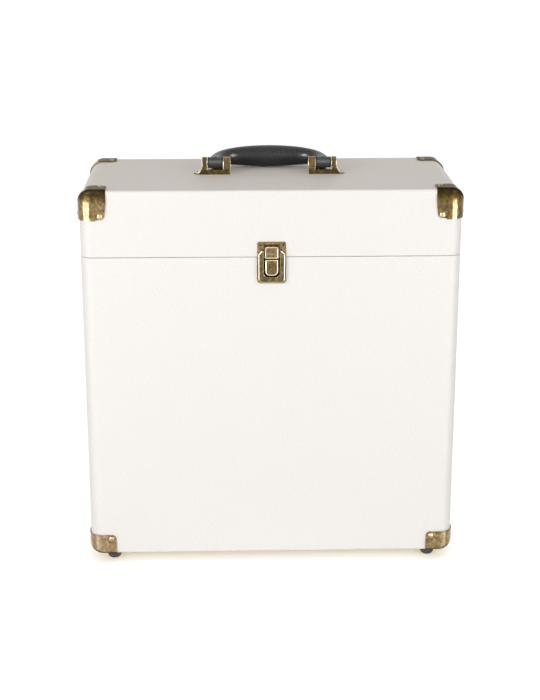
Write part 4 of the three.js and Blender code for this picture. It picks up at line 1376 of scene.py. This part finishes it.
def button_spring():
    """A wound spring behind the button, as long as its node."""
    low, high = spring_low, spring_high
    wire = 0.35 * MM
    radius = 2.7 * MM
    turns = 4
    steps = 22 * turns
    middle = (low + high) / 2
    length = high.y - low.y - 2 * wire
    stations = []
    for step in range(steps + 1):
        turn = 2 * math.pi * turns * step / steps
        spoke = Vector((math.cos(turn), 0, math.sin(turn)))
        centre = Vector((0, low.y + wire + length * step / steps, middle.z)) + spoke * radius
        ahead = Vector((-math.sin(turn), 0, math.cos(turn))) * radius * 2 * math.pi * turns
        ahead = (ahead + BACK * length).normalized()
        side = (spoke - ahead * spoke.dot(ahead)).normalized()
        stations.append((centre, ahead, side, wire, wire))
    coil = dress("coil_spring", swept(stations, 10), STEEL, "case_body", ["latch_spring"])
    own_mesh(coil)


# Rear hinges

HINGE_AXIS = Vector(joints["lid_hinge"]["pos_m"])
LEAF_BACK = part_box("hinge_body_leaf_left")[0].y
LEAF_THICK = 1 * MM
LEAF_HALF = 16 * MM
SCREW_XS = (-10 * MM, 0, 10 * MM)
SCREW_FROM_AXIS = 14 * MM
BESIDE_AXIS = 0.6 * MM
CLEAR_OF_KNUCKLES = 2.4 * MM


def hinge_leaf(centre_x, hand, notch, at_ends, at_middle, knuckles):
    """One leaf, above the axis for hand 1 and below it for -1. Its edge steps at the notch."""
    reach = 20 * MM
    tip_round = 3 * MM
    hole = 1.6 * MM
    outline = [
        (-LEAF_HALF, reach, tip_round), (LEAF_HALF, reach, tip_round), (LEAF_HALF, at_ends, 0),
        (notch, at_ends, 0), (notch, at_middle, 0), (-notch, at_middle, 0), (-notch, at_ends, 0),
        (-LEAF_HALF, at_ends, 0)]
    corners = [(centre_x + x, HINGE_AXIS.z + hand * z, radius) for x, z, radius in outline]
    holes = [(centre_x + x, HINGE_AXIS.z + hand * SCREW_FROM_AXIS, hole) for x in SCREW_XS]
    front = LEAF_BACK + LEAF_THICK
    bm = plate(corners, LEAF_BACK, front, holes)
    ease(bm, edges_at(bm, 1, front), 0.2 * MM, worn_and_highlit=0.6)
    for start, end in knuckles:
        foot = Vector((centre_x + start, HINGE_AXIS.y, HINGE_AXIS.z))
        join(bm, stand(turned(knuckle_profile(end - start), 28), foot, RIGHT))
    return bm


def knuckle_profile(length):
    """The wall of a knuckle, with eased outer edges."""
    outer = 2 * MM
    end = 1.85 * MM
    bore = 1.05 * MM
    eased = 0.15 * MM
    return [(bore, 0), (end, 0), (outer, eased), (outer, length - eased), (end, length),
            (bore, length), (bore, 0)]


def rod_end():
    """The low head at each end of a hinge rod."""
    rod = 1 * MM
    head = 1.6 * MM
    head_thick = 0.8 * MM
    crown = 1.1 * MM
    crown_rise = 0.35 * MM
    return [(0, 0), (crown, 0), (head, crown_rise), (head, head_thick), (rod, head_thick)]


def dress_hinges():
    body_notch = 5.3 * MM
    lid_notch = 5 * MM
    outer_knuckles = [(-LEAF_HALF, -body_notch), (body_notch, LEAF_HALF)]
    inner_knuckle = [(-lid_notch, lid_notch)]
    for side, hand in SIDES:
        centre = hand * (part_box("hinge_body_leaf_right")[0].x + LEAF_HALF)
        body_leaf = hinge_leaf(centre, -1, body_notch, BESIDE_AXIS, CLEAR_OF_KNUCKLES, outer_knuckles)
        dress(f"hinge_lower_{side}", body_leaf, BRASS, "case_body",
              [f"hinge_body_leaf_{side}"])
        lid_leaf = hinge_leaf(centre, 1, lid_notch, CLEAR_OF_KNUCKLES, BESIDE_AXIS, inner_knuckle)
        dress(f"hinge_upper_{side}", lid_leaf, BRASS, "lid",
              [f"hinge_lid_leaf_{side}"])
        rod = turned_pin(f"hinge_pin_{side}", rod_end(), 24)
        dress(f"hinge_rod_{side}", rod, STEEL, "case_body", [f"hinge_pin_{side}"])
        hinge_screws(side, centre)


def hinge_screws(side, centre):
    sunk = 0.2 * MM
    seat_y = LEAF_BACK + LEAF_THICK - sunk
    for level, body, way in (("lower", "case_body", -1), ("upper", "lid", 1)):
        for number, x in enumerate(SCREW_XS, 1):
            seat = Vector((centre + x, seat_y, HINGE_AXIS.z + way * SCREW_FROM_AXIS))
            screw = stand(screw_head(2.5 * MM, 0.8 * MM), seat, BACK)
            dress(f"hinge_screw_{side}_{level}_{number}", screw, STEEL, body)


# Stage, light and camera

def seen_or_mirrored(nodes, links):
    """1 for camera, glossy and transmission rays, 0 for the rays that carry light."""
    path = nodes.new("ShaderNodeLightPath")
    share = path.outputs["Is Camera Ray"]
    for ray in ("Is Glossy Ray", "Is Transmission Ray"):
        either = nodes.new("ShaderNodeMath")
        either.operation = "MAXIMUM"
        links.new(share, either.inputs[0])
        links.new(path.outputs[ray], either.inputs[1])
        share = either.outputs["Value"]
    return share


def choose(nodes, links, for_light, for_eye, surface):
    """Show one shader to the rays that carry light and another to the eye and to mirrors."""
    choice = nodes.new("ShaderNodeMixShader")
    links.new(seen_or_mirrored(nodes, links), choice.inputs["Fac"])
    links.new(for_light, choice.inputs[1])
    links.new(for_eye, choice.inputs[2])
    links.new(choice.outputs["Shader"], surface)


def floor_finish():
    """A pale floor that looks white and keeps the shadow. Close to the case its glow is painted darker
    and warm: a painted shadow.
    """
    shadow_reach = 26 * MM
    painted_shadow_tone = (0.44, 0.34, 0.18, 1)
    open_glow = (0.69, 0.69, 0.69, 1)
    finish = bpy.data.materials.new("pale floor")
    finish.use_nodes = True
    nodes = finish.node_tree.nodes
    links = finish.node_tree.links
    plain = nodes["Principled BSDF"]
    plain.inputs["Base Color"].default_value = (0.9, 0.895, 0.88, 1)
    plain.inputs["Roughness"].default_value = 0.9
    plain.inputs["Specular IOR Level"].default_value = 0
    under = nodes.new("ShaderNodeAmbientOcclusion")
    under.inputs["Distance"].default_value = shadow_reach
    tint = nodes.new("ShaderNodeMix")
    tint.data_type = "RGBA"
    tint.inputs[6].default_value = painted_shadow_tone
    tint.inputs[7].default_value = open_glow
    links.new(under.outputs["AO"], tint.inputs["Factor"])
    glow = nodes.new("ShaderNodeEmission")
    links.new(tint.outputs[2], glow.inputs["Color"])
    shaded = nodes.new("ShaderNodeBsdfDiffuse")
    shaded.inputs["Color"].default_value = (0.75, 0.8, 0.88, 1)
    seen = nodes.new("ShaderNodeAddShader")
    links.new(glow.outputs["Emission"], seen.inputs[0])
    links.new(shaded.outputs["BSDF"], seen.inputs[1])
    surface = nodes["Material Output"].inputs["Surface"]
    choose(nodes, links, plain.outputs["BSDF"], seen.outputs["Shader"], surface)
    return finish


def pale_floor():
    half_side = 10
    bm = bmesh.new()
    bmesh.ops.create_grid(bm, x_segments=1, y_segments=1, size=half_side)
    mesh = bpy.data.meshes.new("floor")
    bm.to_mesh(mesh)
    bm.free()
    mesh.materials.append(floor_finish())
    add_object("floor", mesh)


def studio_world():
    """Warm light from the room, and a white background for camera, glossy and transmission rays."""
    world = bpy.data.worlds.new("studio")
    bpy.context.scene.world = world
    world.use_nodes = True
    nodes = world.node_tree.nodes
    links = world.node_tree.links
    room = nodes["Background"]
    room.inputs["Color"].default_value = (1.0, 0.912, 0.835, 1)
    room.inputs["Strength"].default_value = 0.44
    white = nodes.new("ShaderNodeBackground")
    white.inputs["Color"].default_value = (1, 1, 1, 1)
    white.inputs["Strength"].default_value = 1.0
    surface = nodes["World Output"].inputs["Surface"]
    choose(nodes, links, room.outputs["Background"], white.outputs["Background"], surface)


def softbox(name, place, aim, size, radiance, lights, tint):
    """A plain rectangular lamp of (width, height). It serves shade or shine alone."""
    width, height = size
    lamp = bpy.data.lights.new(name, "AREA")
    lamp.shape = "RECTANGLE"
    lamp.size = width
    lamp.size_y = height
    lamp.energy = math.pi * radiance * width * height
    lamp.color = tint
    holder = add_object(name, lamp)
    holder.location = place
    holder.rotation_euler = (Vector(aim) - Vector(place)).to_track_quat("-Z", "Y").to_euler()
    holder.visible_camera = False
    holder.visible_diffuse = lights != "shine"
    holder.visible_glossy = lights != "shade"


def softboxes():
    white = (0.95, 0.975, 1.0)
    cool = (0.8, 0.8, 1.0)
    case_middle = (0, 0, 0.2)
    handle_middle = (0, 0, 0.39)
    left_corner = (-0.185, -0.086, 0.1)
    right_corner = (0.185, -0.086, 0.1)
    large = (1, 1)
    small = (0.5, 0.5)
    softbox("fill left", (-1.3, -1.6, 0.75), case_middle, large, 5.6, "shade", white)
    softbox("fill right", (1.3, -1.6, 0.75), case_middle, large, 4.1, "shade", white)
    softbox("fill back", (0.5, 1.8, 0.6), case_middle, large, 2.2, "shade", white)
    softbox("low left", (-0.797, -0.676, 0.1), left_corner, (0.757, 0.18), 15, "shine", cool)
    softbox("low right", (0.734, -0.762, 0.1), right_corner, (0.535, 0.16), 34, "shine", cool)
    softbox("high left", (-0.95, -0.95, 0.96), handle_middle, small, 36, "shine", white)
    softbox("high right", (0.95, -0.95, 0.96), handle_middle, small, 26, "shine", white)


def camera():
    """The photo's view, fitted to its outline: from just left of the middle, looking down."""
    looking_down = 0.30452
    turned_right = 0.02758
    lens = bpy.data.cameras.new("camera")
    lens.lens = 77.2
    lens.sensor_width = 36
    holder = add_object("camera", lens)
    holder.location = (-0.0405, -1.4971, 0.6705)
    holder.rotation_euler = (QUARTER - looking_down, 0, -turned_right)
    bpy.context.scene.camera = holder


camera()
covered_board()
cloth_linings()
mouth_lip()
dress_corners()
dress_feet()
moulded_grip()
handle_barrels()
dress_brackets()
latch_plate()
latch_housing()
latch_hasp()
latch_button()
button_spring()
dress_hinges()
pale_floor()
studio_world()
softboxes()
bpy.context.scene.view_settings.view_transform = "Standard"
